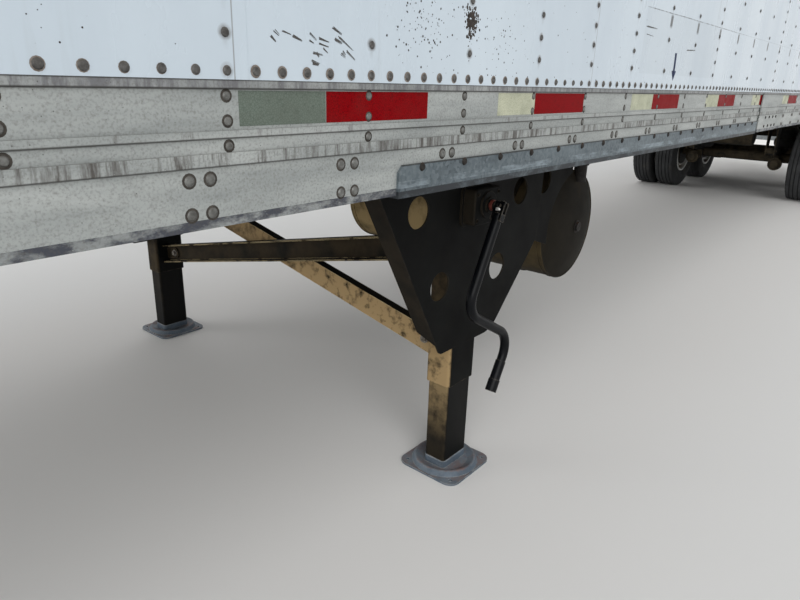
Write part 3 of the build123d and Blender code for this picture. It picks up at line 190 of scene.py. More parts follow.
def overLevel(tree, value, amount, form):   # where a value is over a level, which falls as the amount grows
    level = minus(tree, form["level"], times(tree, amount, form["reach"]))
    return times(tree, minus(tree, value, level), form["edge"], clamp=True)


# effects that several finishes share
vectorIn = ("Vector", "Vector", None)
amountInputs = (vectorIn, ("Scale", "Float", 4.0), ("Amount", "Float", 0.4))

settling = {"clouds": 0.72, "fine": 0.28, "finer": 9.0, "upward": 0.22, "level": 0.78, "reach": 0.6,
            "edge": 4.5}
dustGroup, given, result = newGroup("settledDust", amountInputs, "Mask")
clouds = noise(dustGroup, given["Vector"], given["Scale"], detail=7.0, rough=0.6)
clouds = times(dustGroup, clouds, settling["clouds"])
fineScale = times(dustGroup, given["Scale"], settling["finer"])
fine = times(dustGroup, noise(dustGroup, given["Vector"], fineScale), settling["fine"])
upward = calc(dustGroup, "MAXIMUM", split(dustGroup, "XYZ", normalOf(dustGroup))["Z"], 0.0)
cover = plus(dustGroup, plus(dustGroup, clouds, fine), times(dustGroup, upward, settling["upward"]))
feed(dustGroup, overLevel(dustGroup, cover, given["Amount"], settling), result)

sunAndDustFacing = {"facing": (0.30, 0.80), "patches": (0.28, 0.58)}   # painted sunlight on what faces forward, partly road dust
sunAndDustGroup, given, result = newGroup("sunlitFrontAndRoadDust", amountInputs, "Mask")
ahead = remap(sunAndDustGroup, split(sunAndDustGroup, "XYZ", normalOf(sunAndDustGroup))["X"], *sunAndDustFacing["facing"])
patches = noise(sunAndDustGroup, given["Vector"], given["Scale"], detail=6.0, rough=0.6)
patched = times(sunAndDustGroup, ahead, remap(sunAndDustGroup, patches, *sunAndDustFacing["patches"]))
feed(sunAndDustGroup, times(sunAndDustGroup, patched, given["Amount"]), result)

chipping = {"size": 0.9, "edge": 14.0}
chipInputs = (vectorIn, ("Scale", "Float", 60.0), ("Density", "Float", 0.3))
chipGroup, given, result = newGroup("stoneChips", chipInputs, "Mask")
chip = cells(chipGroup, given["Vector"], given["Scale"])
chance = split(chipGroup, "Color", chip.outputs["Color"])[0]
size = times(chipGroup, minus(chipGroup, given["Density"], chance), chipping["size"])
inside = minus(chipGroup, size, chip.outputs["Distance"])
feed(chipGroup, times(chipGroup, inside, chipping["edge"], clamp=True), result)

raining = {"lie": (1.0, 1.0, 0.06), "lines": 0.7, "breaks": 0.3, "breakScale": 2.1, "level": 0.76,
           "reach": 0.5, "edge": 6.0}
runGroup, given, result = newGroup("rainRuns", amountInputs, "Mask")
falling = stretch(runGroup, given["Vector"], raining["lie"])
runLines = noise(runGroup, falling, given["Scale"], detail=5.0, rough=0.6)
runBreaks = noise(runGroup, given["Vector"], raining["breakScale"], detail=3.0)
runs = plus(runGroup, times(runGroup, runLines, raining["lines"]),
            times(runGroup, runBreaks, raining["breaks"]))
feed(runGroup, overLevel(runGroup, runs, given["Amount"], raining), result)

wearing = {"radius": 6 * mm, "samples": 4, "strength": 9.0, "breaks": (0.42, 0.62)}
wearGroup, given, result = newGroup("edgeWear", amountInputs, "Mask")
rounded = wearGroup.nodes.new("ShaderNodeBevel")
rounded.samples = wearing["samples"]
rounded.inputs["Radius"].default_value = wearing["radius"]
likeness = wearGroup.nodes.new("ShaderNodeVectorMath")
likeness.operation = "DOT_PRODUCT"
wearGroup.links.new(rounded.outputs[0], likeness.inputs[0])
wearGroup.links.new(normalOf(wearGroup), likeness.inputs[1])
turned = times(wearGroup, minus(wearGroup, 1.0, likeness.outputs["Value"]), wearing["strength"])
breaks = noise(wearGroup, given["Vector"], given["Scale"], detail=6.0, rough=0.65)
worn = times(wearGroup, turned, remap(wearGroup, breaks, *wearing["breaks"]))
feed(wearGroup, times(wearGroup, worn, given["Amount"], clamp=True), result)

graining = {"coarse": 0.45, "broad": 0.55, "broader": 0.11}
grainGroup, given, result = newGroup("surfaceGrain", (vectorIn, ("Scale", "Float", 200.0)), "Height")
coarse = noise(grainGroup, given["Vector"], given["Scale"], detail=5.0, rough=0.6)
broadScale = times(grainGroup, given["Scale"], graining["broader"])
broad = noise(grainGroup, given["Vector"], broadScale, detail=3.0)
grainHeight = plus(grainGroup, times(grainGroup, coarse, graining["coarse"]),
                   times(grainGroup, broad, graining["broad"]))
feed(grainGroup, grainHeight, result)
print("shader groups built")


# one finish: a base tone that varies, then runs, dust, painted sunlight on forward faces (partly road dust),
# chips and worn edges, each with its own colour
tone = {"range": (0.32, 0.68), "rougher": 0.12, "crystals": 0.55}


def makeFinish(name, look):
    material, tree, shader, place = newMaterial(name)
    drawn = stretch(tree, place, look.get("lie", (1.0, 1.0, 1.0)))   # the way that the metal was drawn
    vary = remap(tree, noise(tree, drawn, look["varyScale"], detail=6.0, rough=0.62), *tone["range"])
    colour = mixColour(tree, vary, look["base"], look["second"])
    roughSecond = look.get("roughSecond", look["rough"] + tone["rougher"])
    rough = remap(tree, vary, 0.0, 1.0, look["rough"], roughSecond)
    metal = look.get("metal", 0.0)
    if "spangle" in look:
        crystal = split(tree, "Color", cells(tree, place, look["spangle"]).outputs["Color"])[1]
        colour = mixColour(tree, times(tree, crystal, tone["crystals"]), colour, look["spangleTint"])
    if "bands" in look:
        colour = addBands(tree, place, colour, look["bands"])
    if "sheetMarks" in look:
        colour = addSheetMarks(tree, place, colour, look["sheetMarks"])
    # the front layer paints sunlight on forward faces, partly road dust; its fades paint shade where the sun
    # does not reach
    for key, group in (("runs", runGroup), ("dust", dustGroup), ("dirt", dustGroup), ("front", sunAndDustGroup)):
        if key in look:
            layer = look[key]
            mask = useGroup(tree, group, place, Scale=layer["scale"], Amount=layer["amount"])
            mask = times(tree, mask, layer["strength"])
            for axis, low, high, least in layer["fade"]:
                mask = times(tree, mask, remap(tree, split(tree, "XYZ", place)[axis], low, high, least, 1.0))
            colour = mixColour(tree, mask, colour, layer["tint"])
            rough = remap(tree, mask, 0.0, 1.0, rough, layer["rough"])
            if metal and key != "runs":
                metal = times(tree, metal, minus(tree, 1.0, mask))
    for key in ("chips", "specks"):
        if key in look:
            layer = look[key]
            mask = useGroup(tree, chipGroup, place, Scale=layer["scale"], Density=layer["density"])
            colour = mixColour(tree, times(tree, mask, layer["strength"]), colour, layer["tint"])
    if "wear" in look:
        layer = look["wear"]
        mask = useGroup(tree, wearGroup, place, Amount=layer["amount"], Scale=layer["scale"])
        colour = mixColour(tree, mask, colour, layer["tint"])
    feed(tree, colour, shader.inputs["Base Color"])
    feed(tree, rough, shader.inputs["Roughness"])
    feed(tree, metal, shader.inputs["Metallic"])
    if "specular" in look:
        shader.inputs["Specular IOR Level"].default_value = look["specular"]
    grain = useGroup(tree, grainGroup, drawn, Scale=look["grain"])
    addBump(tree, shader, grain, look["bump"], look["bumpDepth"])
    return material


bandShape = {"soft": 0.16, "line": (0.6 * mm, 2.2 * mm)}


def addBands(tree, place, colour, bands):   # bands between two heights (dirt on ledges, painted shade along bottom edges), and dark lines at edges (painted shadow under steps, partly grime)
    height = split(tree, "XYZ", place)["Z"]
    for band in bands["ledges"]:
        streaks = noise(tree, stretch(tree, place, band["lie"]), band["scale"], detail=6.0, rough=0.7)
        within = times(tree, calc(tree, "GREATER_THAN", height, band["low"]),
                       calc(tree, "LESS_THAN", height, band["high"]))
        broken = remap(tree, streaks, band["start"], band["start"] + bandShape["soft"], band["least"], 1.0)
        colour = mixColour(tree, times(tree, within, broken), colour, band["tint"])
    for edge in bands["lines"]:
        line = remap(tree, distance(tree, height, edge), *bandShape["line"], bands["lineStrength"], 0.0)
        colour = mixColour(tree, line, colour, bands["lineTint"])
    return colour


# shapes of the marks on the sheets: each pair is where a mark starts to fade and where it ends
markShape = {"ring": (8.0 * mm, 13.0 * mm), "dripDown": (-24 * mm, -6 * mm), "dripAside": (1.5 * mm, 6 * mm),
             "joint": (0.5 * mm, 1.6 * mm), "jointStrength": 0.6, "line": (0.8 * mm, 2.2 * mm),
             "lineStrength": 0.9, "lineLeast": 0.3, "dashDown": 24 * mm, "dashHigh": (14 * mm, 24 * mm),
             "dashAside": (8 * mm, 14 * mm), "breakScale": 45.0, "breaks": (0.35, 0.6), "breakLeast": 0.25}


def addSheetMarks(tree, place, colour, marks):   # grime round the rivets, an old dark line along the top of a faint patch, and painted shadows in short dashes below that line at the posts
    axes = split(tree, "XYZ", place)
    back = minus(tree, firstRivetX, axes["X"])
    column = calc(tree, "ROUND", calc(tree, "DIVIDE", back, postPitch))
    aside = distance(tree, back, times(tree, column, postPitch))
    quarter = calc(tree, "FRACT", plus(tree, times(tree, column, 0.25), 2.05))   # 0.05 at every fourth column
    everyFourth = calc(tree, "LESS_THAN", quarter, 0.15)      # which is a seam, with twice the rivets
    besideFourth = distance(tree, distance(tree, column, 4.0), 1.0)   # columns 3 and 5 are as close
    seam = calc(tree, "MAXIMUM", everyFourth, calc(tree, "LESS_THAN", besideFourth, 0.5))
    pitch = minus(tree, 2 * rivetPitch, times(tree, seam, rivetPitch))
    level = calc(tree, "DIVIDE", minus(tree, axes["Z"], lowestRivetZ + rivetPitch), pitch)
    over = times(tree, minus(tree, level, calc(tree, "ROUND", level)), pitch)
    reach = calc(tree, "SQRT", plus(tree, times(tree, aside, aside), times(tree, over, over)))
    ring = remap(tree, reach, *markShape["ring"], marks["ring"], 0.0)
    fall = times(tree, remap(tree, over, *markShape["dripDown"]), calc(tree, "LESS_THAN", over, 0.0))
    drip = times(tree, fall, remap(tree, aside, *markShape["dripAside"], marks["drip"], 0.0))
    breaks = noise(tree, place, markShape["breakScale"], detail=5.0, rough=0.6)
    broken = remap(tree, breaks, *markShape["breaks"], markShape["breakLeast"], 1.0)
    grime = times(tree, calc(tree, "MAXIMUM", ring, drip), broken)
    colour = mixColour(tree, grime, colour, marks["tint"])
    joint = calc(tree, "PINGPONG", minus(tree, back, sheetSeam), 0.5 * sheetLength)
    jointLine = remap(tree, joint, *markShape["joint"], markShape["jointStrength"], 0.0)
    colour = mixColour(tree, jointLine, colour, marks["tint"])

    left = calc(tree, "GREATER_THAN", axes["Y"], 0.5)
    behind = times(tree, left, calc(tree, "GREATER_THAN", back, marks["lineFrom"]))
    away = distance(tree, axes["Z"], marks["lineHeight"])
    line = times(tree, remap(tree, away, *markShape["line"], markShape["lineStrength"], 0.0), broken)
    fainter = remap(tree, back, marks["patchTo"], marks["lineFaint"], 1.0, markShape["lineLeast"])
    line = times(tree, line, fainter)
    # short dashes below the line at each post: painted shadow where the patch's edge stands off the sheet
    under = distance(tree, axes["Z"], marks["lineHeight"] - markShape["dashDown"])
    shadowDash = times(tree, remap(tree, under, *markShape["dashHigh"], 1.0, 0.0),
                 remap(tree, aside, *markShape["dashAside"], 1.0, 0.0))
    mask = times(tree, calc(tree, "MAXIMUM", line, shadowDash), behind)
    colour = mixColour(tree, mask, colour, marks["lineTint"])

    below = calc(tree, "LESS_THAN", axes["Z"], marks["lineHeight"])
    above = calc(tree, "GREATER_THAN", axes["Z"], marks["patchLow"])
    ahead = calc(tree, "LESS_THAN", back, marks["patchTo"])
    patch = times(tree, times(tree, below, above), times(tree, ahead, behind))
    return mixColour(tree, times(tree, patch, marks["patch"]), colour, marks["patchTint"])


# what a look is made of: two tones and how rough they are, coats of dirt (the front coat is painted sunlight,
# partly road dust), spots of bare metal, and streaked bands with dark lines (partly painted shade)
def finish(base, second, varyScale, rough, surface, **more):
    grain, bump, bumpDepth = surface
    return {"base": tint(*base), "second": tint(*second), "varyScale": varyScale, "rough": rough,
            "grain": grain, "bump": bump, "bumpDepth": bumpDepth, **more}


def coat(colour, amount, scale, strength=0.8, rough=0.9, fade=()):   # fade: axis, from, to, least
    return {"tint": tint(*colour), "amount": amount, "scale": scale, "strength": strength, "rough": rough,
            "fade": fade}


def spots(colour, scale, density, strength=0.9):
    return {"tint": tint(*colour), "scale": scale, "density": density, "strength": strength}


def ledge(low, high, colour, lie, scale, start, least):
    return {"low": low, "high": high, "tint": tint(*colour), "lie": lie, "scale": scale, "start": start,
            "least": least}


# each finish: two tones, how coarsely they vary, roughness, and the grain's scale, strength and depth
looks = {
    "whiteSheet": finish((198, 210, 219), (186, 198, 208), 2.4, 0.20, (260.0, 0.08, 0.0006),
        lie=(1.0, 1.0, 0.35), roughSecond=0.36,
        sheetMarks={"ring": 0.62, "drip": 0.36, "tint": tint(96, 86, 74), "lineFrom": 1.591,
                    "lineHeight": 1.598, "lineTint": tint(44, 48, 50), "lineFaint": 3.0, "patchLow": 1.400,
                    "patchTo": 2.456, "patch": 0.14, "patchTint": tint(150, 160, 166)},
        runs=coat((150, 154, 152), 0.30, 14.0, 0.4, rough=0.6),
        dust=coat((166, 170, 166), 0.16, 5.0, 0.4, rough=0.6), chips=spots((84, 80, 72), 75.0, 0.09),
        specks=spots((110, 104, 92), 21.0, 0.04)),
    "whitePanel": finish((208, 215, 221), (197, 204, 211), 2.0, 0.30, (230.0, 0.12, 0.0006),
        runs=coat((150, 148, 140), 0.34, 11.0, 0.5), dust=coat((170, 168, 158), 0.18, 4.0, 0.5),
        chips=spots((92, 88, 80), 60.0, 0.07)),
    "railMetal": finish((176, 180, 178), (142, 147, 146), 7.0, 0.42, (320.0, 0.22, 0.0006),
        lie=(0.35, 1.0, 2.2), metal=0.35, roughSecond=0.58, dust=coat((122, 123, 119), 0.34, 11.0, 0.55),
        dirt=coat((92, 89, 82), 0.50, 250.0, 0.60),
        # the top ledge and both ribs are streaked with dirt; the strip along the rounded bottom edge is
        # painted shade; the lines are painted shadow under the sheet's edge, in the groove and under each
        # rib, partly grime
        bands={"ledges": (ledge(1.3368, 1.3505, (112, 113, 116), (1.0, 1.0, 0.2), 60.0, 0.42, 0.35),
                          ledge(1.2280, 1.2465, (84, 81, 78), (1.0, 1.0, 0.12), 62.0, 0.46, 0.0),
                          ledge(1.2680, 1.2785, (100, 97, 94), (1.0, 1.0, 0.12), 34.0, 0.54, 0.0),
                          ledge(1.1300, 1.1510, (64, 67, 76), (0.5, 1.0, 1.0), 40.0, 0.40, 0.30)),
               "lines": (1.3372, 1.3496, 1.2674, 1.2274), "lineTint": tint(44, 42, 40), "lineStrength": 0.8},
        chips=spots((62, 60, 57), 210.0, 0.26, 0.7), specks=spots((206, 210, 208), 190.0, 0.18, 0.5)),
    "beamMetal": finish((150, 150, 145), (118, 118, 112), 6.0, 0.55, (260.0, 0.25, 0.0008), metal=0.35,
        dust=coat((118, 110, 96), 0.46, 5.0, 0.75), dirt=coat((78, 72, 62), 0.32, 13.0, 0.6)),
    "rivetGrey": finish((98, 97, 95), (48, 45, 42), 110.0, 0.5, (600.0, 0.3, 0.0004), metal=0.3,
        dust=coat((78, 74, 68), 0.4, 50.0)),
    "rivetRail": finish((122, 123, 120), (76, 75, 72), 90.0, 0.42, (600.0, 0.3, 0.0004), metal=0.35,
        dust=coat((96, 93, 88), 0.36, 60.0)),
    "rivetDark": finish((46, 43, 40), (27, 25, 24), 60.0, 0.6, (600.0, 0.3, 0.0004), specular=0.2,
        dirt=coat((84, 60, 42), 0.30, 50.0, 0.7)),
    # a dark ring round each rail rivet: painted shade at its foot, partly grime
    "shadeAndGrimeRing": finish((50, 47, 44), (78, 74, 69), 90.0, 0.8, (500.0, 0.2, 0.0003), specular=0.2),
    "grimeHalo": finish((98, 86, 76), (140, 134, 128), 130.0, 0.85, (500.0, 0.2, 0.0003)),
    "rivetWhite": finish((196, 202, 206), (160, 164, 166), 25.0, 0.42, (600.0, 0.2, 0.0004), metal=0.1,
        dust=coat((120, 118, 112), 0.30, 40.0)),
    "zincCoat": finish((96, 108, 114), (62, 71, 77), 9.0, 0.46, (260.0, 0.25, 0.0008), lie=(0.35, 1.0, 1.8),
        metal=0.5, spangle=120.0, spangleTint=tint(122, 132, 137),
        # the dark band along the bottom edge is painted shade; above it a lighter streaked band; the line
        # near the top edge is painted shadow, partly grime
        bands={"ledges": (ledge(1.1280, 1.1440, (48, 52, 56), (0.4, 1.0, 1.0), 30.0, 0.36, 0.35),
                          ledge(1.1500, 1.1640, (136, 148, 155), (0.3, 1.0, 1.0), 26.0, 0.46, 0.0)),
               "lines": (1.1952,), "lineTint": tint(34, 33, 32), "lineStrength": 0.8},
        runs=coat((60, 60, 58), 0.30, 30.0, 0.55), dust=coat((92, 94, 91), 0.30, 12.0, 0.5),
        chips=spots((44, 43, 41), 160.0, 0.20)),
    "frameZinc": finish((152, 158, 160), (128, 134, 137), 6.0, 0.44, (260.0, 0.25, 0.0008), metal=0.5,
        spangle=70.0, spangleTint=tint(176, 181, 183), runs=coat((96, 90, 80), 0.34, 14.0, 0.55),
        dust=coat((126, 122, 112), 0.32, 7.0, 0.55), chips=spots((84, 66, 50), 60.0, 0.07)),
    # legs: each front coat is painted sunlight on the faces that look forward, partly road dust; its fades
    # paint shade on the far leg and where the body hides the sun
    "legSteel": finish((17, 18, 17), (12, 12, 12), 5.0, 0.6, (240.0, 0.35, 0.001), specular=0.08,
        dust=coat((56, 52, 44), 0.24, 6.0, 0.5), dirt=coat((36, 34, 30), 0.42, 14.0, 0.5),
        front=coat((154, 131, 95), 1.7, 20.0, 0.85, fade=(("Y", -0.4, 0.8, 0.10), ("Z", 0.62, 0.46, 0.15))),
        chips=spots((120, 96, 70), 90.0, 0.08, 0.7), wear=coat((104, 94, 78), 0.4, 26.0)),
    "legInner": finish((17, 17, 16), (11, 11, 11), 6.0, 0.5, (200.0, 0.3, 0.001), lie=(1.0, 1.0, 0.3),
        specular=0.10, dust=coat((60, 54, 46), 0.28, 7.0, 0.5),
        front=coat((128, 110, 80), 1.9, 22.0, 0.62, fade=(("Y", -0.4, 0.8, 0.08), ("Z", 0.12, 0.38, 0.05))),
        chips=spots((96, 84, 66), 60.0, 0.06, 0.6), wear=coat((104, 92, 74), 0.4, 22.0)),
    "padSteel": finish((92, 105, 118), (66, 77, 88), 12.0, 0.6, (180.0, 0.5, 0.0015), metal=0.2,
        dust=coat((116, 124, 130), 0.40, 14.0, 0.6), dirt=coat((124, 76, 46), 0.16, 9.0, 0.7),
        chips=spots((48, 46, 42), 80.0, 0.12), wear=coat((150, 152, 150), 0.6, 30.0)),
    "crankPaint": finish((8, 10, 14), (5, 7, 9), 12.0, 0.32, (300.0, 0.15, 0.0005), specular=0.14,
        dust=coat((60, 58, 54), 0.14, 16.0, 0.4), chips=spots((120, 108, 96), 90.0, 0.05),
        wear=coat((120, 112, 100), 0.25, 60.0)),
    # the tank's front coat is painted sunlight on its forward faces, partly road dust, weaker towards its
    # near end
    "tankPaint": finish((31, 28, 22), (20, 18, 14), 4.0, 0.6, (160.0, 0.3, 0.001), specular=0.08,
        dust=coat((66, 58, 45), 0.32, 5.0, 0.55), dirt=coat((46, 41, 34), 0.38, 19.0, 0.5),
        front=coat((178, 155, 112), 1.1, 8.0, 0.85, fade=(("Y", 0.72, 0.40, 0.16),)),
        chips=spots((112, 102, 86), 60.0, 0.06, 0.6)),
    # the frame's front coat is painted sunlight, tan glints on forward faces, partly road dust
    "frameBlack": finish((26, 26, 24), (18, 18, 17), 4.0, 0.6, (150.0, 0.35, 0.001), specular=0.12,
        dust=coat((76, 69, 57), 0.34, 4.0, 0.5), front=coat((120, 106, 82), 1.0, 9.0, 0.24),
        chips=spots((108, 76, 50), 40.0, 0.06, 0.7), wear=coat((110, 96, 76), 0.4, 20.0)),
    "tyreRubber": finish((54, 55, 56), (42, 43, 44), 6.0, 0.78, (220.0, 0.35, 0.001), roughSecond=0.9,
        specular=0.3, dust=coat((104, 98, 86), 0.34, 5.0, 0.5)),
    "softRubber": finish((34, 34, 34), (26, 26, 26), 5.0, 0.7, (200.0, 0.3, 0.001), specular=0.3,
        dust=coat((104, 98, 88), 0.32, 5.0, 0.5)),
    "wheelEnamel": finish((198, 199, 196), (178, 178, 174), 6.0, 0.38, (200.0, 0.25, 0.0008),
        dust=coat((130, 120, 104), 0.42, 6.0, 0.7), dirt=coat((120, 78, 50), 0.16, 12.0, 0.7),
        wear=coat((112, 84, 62), 0.4, 30.0)),
    "wornSteel": finish((112, 106, 98), (84, 78, 70), 12.0, 0.45, (260.0, 0.3, 0.0008), metal=0.7,
        dirt=coat((66, 58, 48), 0.35, 16.0, 0.7), wear=coat((170, 166, 158), 0.5, 40.0)),
    "brightPin": finish((214, 214, 210), (186, 184, 178), 40.0, 0.35, (400.0, 0.2, 0.0005), metal=0.3,
        dirt=coat((120, 108, 90), 0.25, 60.0, 0.6)),
    "ductMetal": finish((182, 184, 186), (160, 162, 164), 5.0, 0.38, (240.0, 0.2, 0.0006),
        lie=(0.2, 1.0, 1.0), metal=0.6, dust=coat((128, 124, 116), 0.30, 6.0, 0.5),
        chips=spots((110, 108, 104), 60.0, 0.1, 0.5)),
    "unitShell": finish((212, 215, 218), (200, 203, 206), 2.4, 0.34, (420.0, 0.16, 0.0005),
        runs=coat((150, 146, 136), 0.36, 10.0, 0.5), dust=coat((160, 156, 146), 0.26, 5.0, 0.45)),
    "moulding": finish((30, 31, 32), (22, 23, 24), 5.0, 0.55, (380.0, 0.2, 0.0005), specular=0.35,
        dust=coat((104, 98, 88), 0.30, 6.0, 0.5)),
    "zincPlate": finish((176, 176, 172), (150, 150, 146), 9.0, 0.34, (240.0, 0.2, 0.0005), metal=0.75,
        dust=coat((126, 120, 108), 0.30, 10.0, 0.5), dirt=coat((134, 90, 54), 0.14, 14.0, 0.6)),
    "scuffPaint": finish((58, 56, 54), (84, 82, 80), 220.0, 0.7, (500.0, 0.2, 0.0003),
        chips=spots((176, 186, 192), 420.0, 0.20)),
    "tarSpots": finish((44, 32, 22), (24, 18, 14), 180.0, 0.55, (500.0, 0.3, 0.0004)),
    "arrowBlue": finish((30, 52, 104), (24, 42, 88), 20.0, 0.45, (400.0, 0.05, 0.0003),
        chips=spots((186, 196, 206), 160.0, 0.12)),
    "rustRed": finish((112, 46, 32), (84, 36, 26), 30.0, 0.6, (300.0, 0.3, 0.0006)),
    "sealGrey": finish((42, 43, 44), (34, 35, 36), 8.0, 0.65, (260.0, 0.2, 0.0006), specular=0.3,
        dust=coat((110, 106, 96), 0.3, 8.0, 0.5)),
    "linerGrey": finish((196, 199, 200), (182, 185, 187), 3.0, 0.5, (200.0, 0.2, 0.0006),
        chips=spots((120, 118, 114), 40.0, 0.06)),
}
# copies of the leg's finish lit in different ways: the plates get little painted sunlight; the front brace is
# the shaded copy, its pale edges painted highlights, partly wear; the rear brace is the sunlit copy, its tan
# painted sunlight, partly road dust, fading to the far side, with painted highlights on its edges, partly
# wear
looks["plateSteel"] = {**looks["legSteel"], "wear": coat((70, 64, 56), 0.15, 26.0),
                       "front": coat((70, 62, 50), 1.0, 8.0, 0.35)}
looks["braceInShade"] = {**looks["legSteel"], "wear": coat((196, 178, 138), 1.3, 9.0),
                      "front": coat((96, 82, 60), 1.0, 7.0, 0.30)}
looks["braceInSun"] = {**looks["legSteel"], "wear": coat((206, 188, 146), 0.8, 20.0),
                     "front": coat((170, 145, 106), 1.8, 24.0, 0.95, fade=(("Y", -0.55, 0.55, 0.22),))}
finishes = {name: makeFinish(name, look) for name, look in looks.items()}


# reflective tape: a fine lattice of cells under a smooth film
film = {"lie": (1.0, 0.02, 1.0), "cells": 240.0, "lattice": (0.02, 0.10), "blotchScale": 22.0,
        "blotches": (0.35, 0.7), "grime": tint(88, 92, 84), "specks": tint(60, 58, 52), "speckScale": 150.0,
        "speckDensity": 0.1, "speckStrength": 0.6, "rough": (0.3, 0.5), "specular": 0.02}


def makeTape(name, base, second, grime):
    material, tree, shader, place = newMaterial(name)
    lattice = cells(tree, stretch(tree, place, film["lie"]), film["cells"], "DISTANCE_TO_EDGE")
    colour = mixColour(tree, remap(tree, lattice.outputs["Distance"], *film["lattice"]), second, base)
    blotch = noise(tree, place, film["blotchScale"], detail=5.0, rough=0.6)
    blotch = remap(tree, blotch, *film["blotches"])
    colour = mixColour(tree, times(tree, blotch, grime), colour, film["grime"])
    specks = useGroup(tree, chipGroup, place, Scale=film["speckScale"], Density=film["speckDensity"])
    colour = mixColour(tree, times(tree, specks, film["speckStrength"]), colour, film["specks"])
    feed(tree, colour, shader.inputs["Base Color"])
    feed(tree, remap(tree, blotch, 0.0, 1.0, *film["rough"]), shader.inputs["Roughness"])
    shader.inputs["Specular IOR Level"].default_value = film["specular"]
    return material


finishes["tapeRed"] = makeTape("tapeRed", tint(132, 3, 11), tint(96, 3, 8), 0.06)
finishes["tapeWhite"] = makeTape("tapeWhite", tint(192, 194, 172), tint(168, 171, 148), 0.30)
finishes["tapeOld"] = makeTape("tapeOld", tint(108, 118, 109), tint(90, 100, 92), 0.45)

# lamp lenses: ribbed coloured plastic
lampLens = {"prisms": 260.0, "ribs": (0.0, 0.2), "smearScale": 30.0, "smears": (0.3, 0.7),
            "rough": (0.12, 0.3), "bump": 0.35, "bumpDepth": 0.001, "coat": 0.4}


def makeLens(name, base, glow):
    material, tree, shader, place = newMaterial(name)
    prism = cells(tree, place, lampLens["prisms"], "DISTANCE_TO_EDGE").outputs["Distance"]
    colour = mixColour(tree, remap(tree, prism, *lampLens["ribs"]), glow, base)
    feed(tree, colour, shader.inputs["Base Color"])
    smears = noise(tree, place, lampLens["smearScale"])
    feed(tree, remap(tree, smears, *lampLens["smears"], *lampLens["rough"]), shader.inputs["Roughness"])
    addBump(tree, shader, prism, lampLens["bump"], lampLens["bumpDepth"])
    shader.inputs["Coat Weight"].default_value = lampLens["coat"]
    return material


finishes["lensRed"] = makeLens("lensRed", tint(150, 10, 14), tint(96, 4, 8))
finishes["lensAmber"] = makeLens("lensAmber", tint(224, 128, 20), tint(176, 84, 10))
print("finishes made:", len(finishes))

wheelEnds = ("front_left", "front_right", "rear_left", "rear_right")
nodeFinishes = {
    "whiteSheet": ("side_wall_left", "side_wall_right"),
    "whitePanel": ("roof", "front_wall", "door_left", "door_right"),
    "railMetal": ("bottom_rails", "top_rails", "joint_plates"),
    "beamMetal": ("crossmembers",),
    "zincCoat": ("lift_rails",),
    "frameZinc": ("rear_frame", "rear_guard"),
    "ductMetal": ("floor",),
    "frameBlack": ("coupler_plate", "slider_rails", "slider_frame", "trailing_arms", "air_tanks",
                   "flap_brackets", "axles", "brake_chambers"),
    "wornSteel": ("kingpin",),
    "legSteel": ("leg_tubes_outer",),
    "plateSteel": ("wing_plates", "gear_drive", "tank_hangers"),
    "braceInShade": ("brace_front",),
    "braceInSun": ("brace_rear",),
    "legInner": ("leg_tubes_inner",),
    "padSteel": ("foot_pads",),
    "crankPaint": ("crank_handle",),
    "tankPaint": ("fuel_tank",),
    "softRubber": ("air_springs", "dock_bumpers", "mud_flaps"),
    "tyreRubber": [f"tyres_{end}" for end in wheelEnds],
    "wheelEnamel": [f"wheels_{end}" for end in wheelEnds],
    "zincPlate": ("door_hardware_left", "door_hardware_right", "nose_sockets"),
    "unitShell": ("cooling_unit",),
    "moulding": ("unit_grille",),
    "lensRed": ("lamps_red",),
    "lensAmber": ("lamps_amber",),
}
for finishName, nodeNames in nodeFinishes.items():
    for nodeName in nodeNames:
        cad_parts[nodeName].data.materials.clear()
        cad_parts[nodeName].data.materials.append(finishes[finishName])
print("CAD nodes dressed")


# mesh helpers
def toMesh(name, bm):
    mesh = bpy.data.meshes.new(name)
    bm.to_mesh(mesh)
    bm.free()
    return mesh


def putPiece(name, bm, finishName, body="root", crease=35.0):
    for face in bm.faces:
        face.smooth = True
    for edge in bm.edges:
        edge.smooth = edge.is_manifold and edge.calc_face_angle(0.0) < math.radians(crease)
    mesh = toMesh(name, bm)
    mesh.materials.append(finishes[finishName])
    piece = bpy.data.objects.new(name, mesh)
    scene.collection.objects.link(piece)
    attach(piece, body)
    return piece


def addBox(bm, low, high, edge=0.0, segments=1):
    made = bmesh.ops.create_cube(bm, size=1.0)["verts"]
    bmesh.ops.scale(bm, vec=[high[i] - low[i] for i in range(3)], verts=made)
    bmesh.ops.translate(bm, vec=[(high[i] + low[i]) / 2 for i in range(3)], verts=made)
    if edge:
        edges = list({e for v in made for e in v.link_edges})
        bmesh.ops.bevel(bm, geom=edges, offset=edge, offset_type="OFFSET", segments=segments, profile=0.5,
                        affect="EDGES", material=-1, clamp_overlap=True)


def addSlab(bm, xs, ys, zs, edge=0.0, segments=1):   # a box from two places along each axis, in either order
    addBox(bm, (min(xs), min(ys), min(zs)), (max(xs), max(ys), max(zs)), edge, segments)


def addFrame(bm, xs, low, high, strip, edge):   # four strips round a rectangle, inside its edges
    for ys, zs in (((low.y, high.y), (low.z, low.z + strip)), ((low.y, high.y), (high.z - strip, high.z)),
                   ((low.y, low.y + strip), (low.z + strip, high.z - strip)),
                   ((high.y - strip, high.y), (low.z + strip, high.z - strip))):
        addSlab(bm, xs, ys, zs, edge, segments=2)


def facing(direction):           # turns what was made along +Z to look along a direction
    return Vector(direction).to_track_quat("Z", "Y").to_matrix().to_4x4()


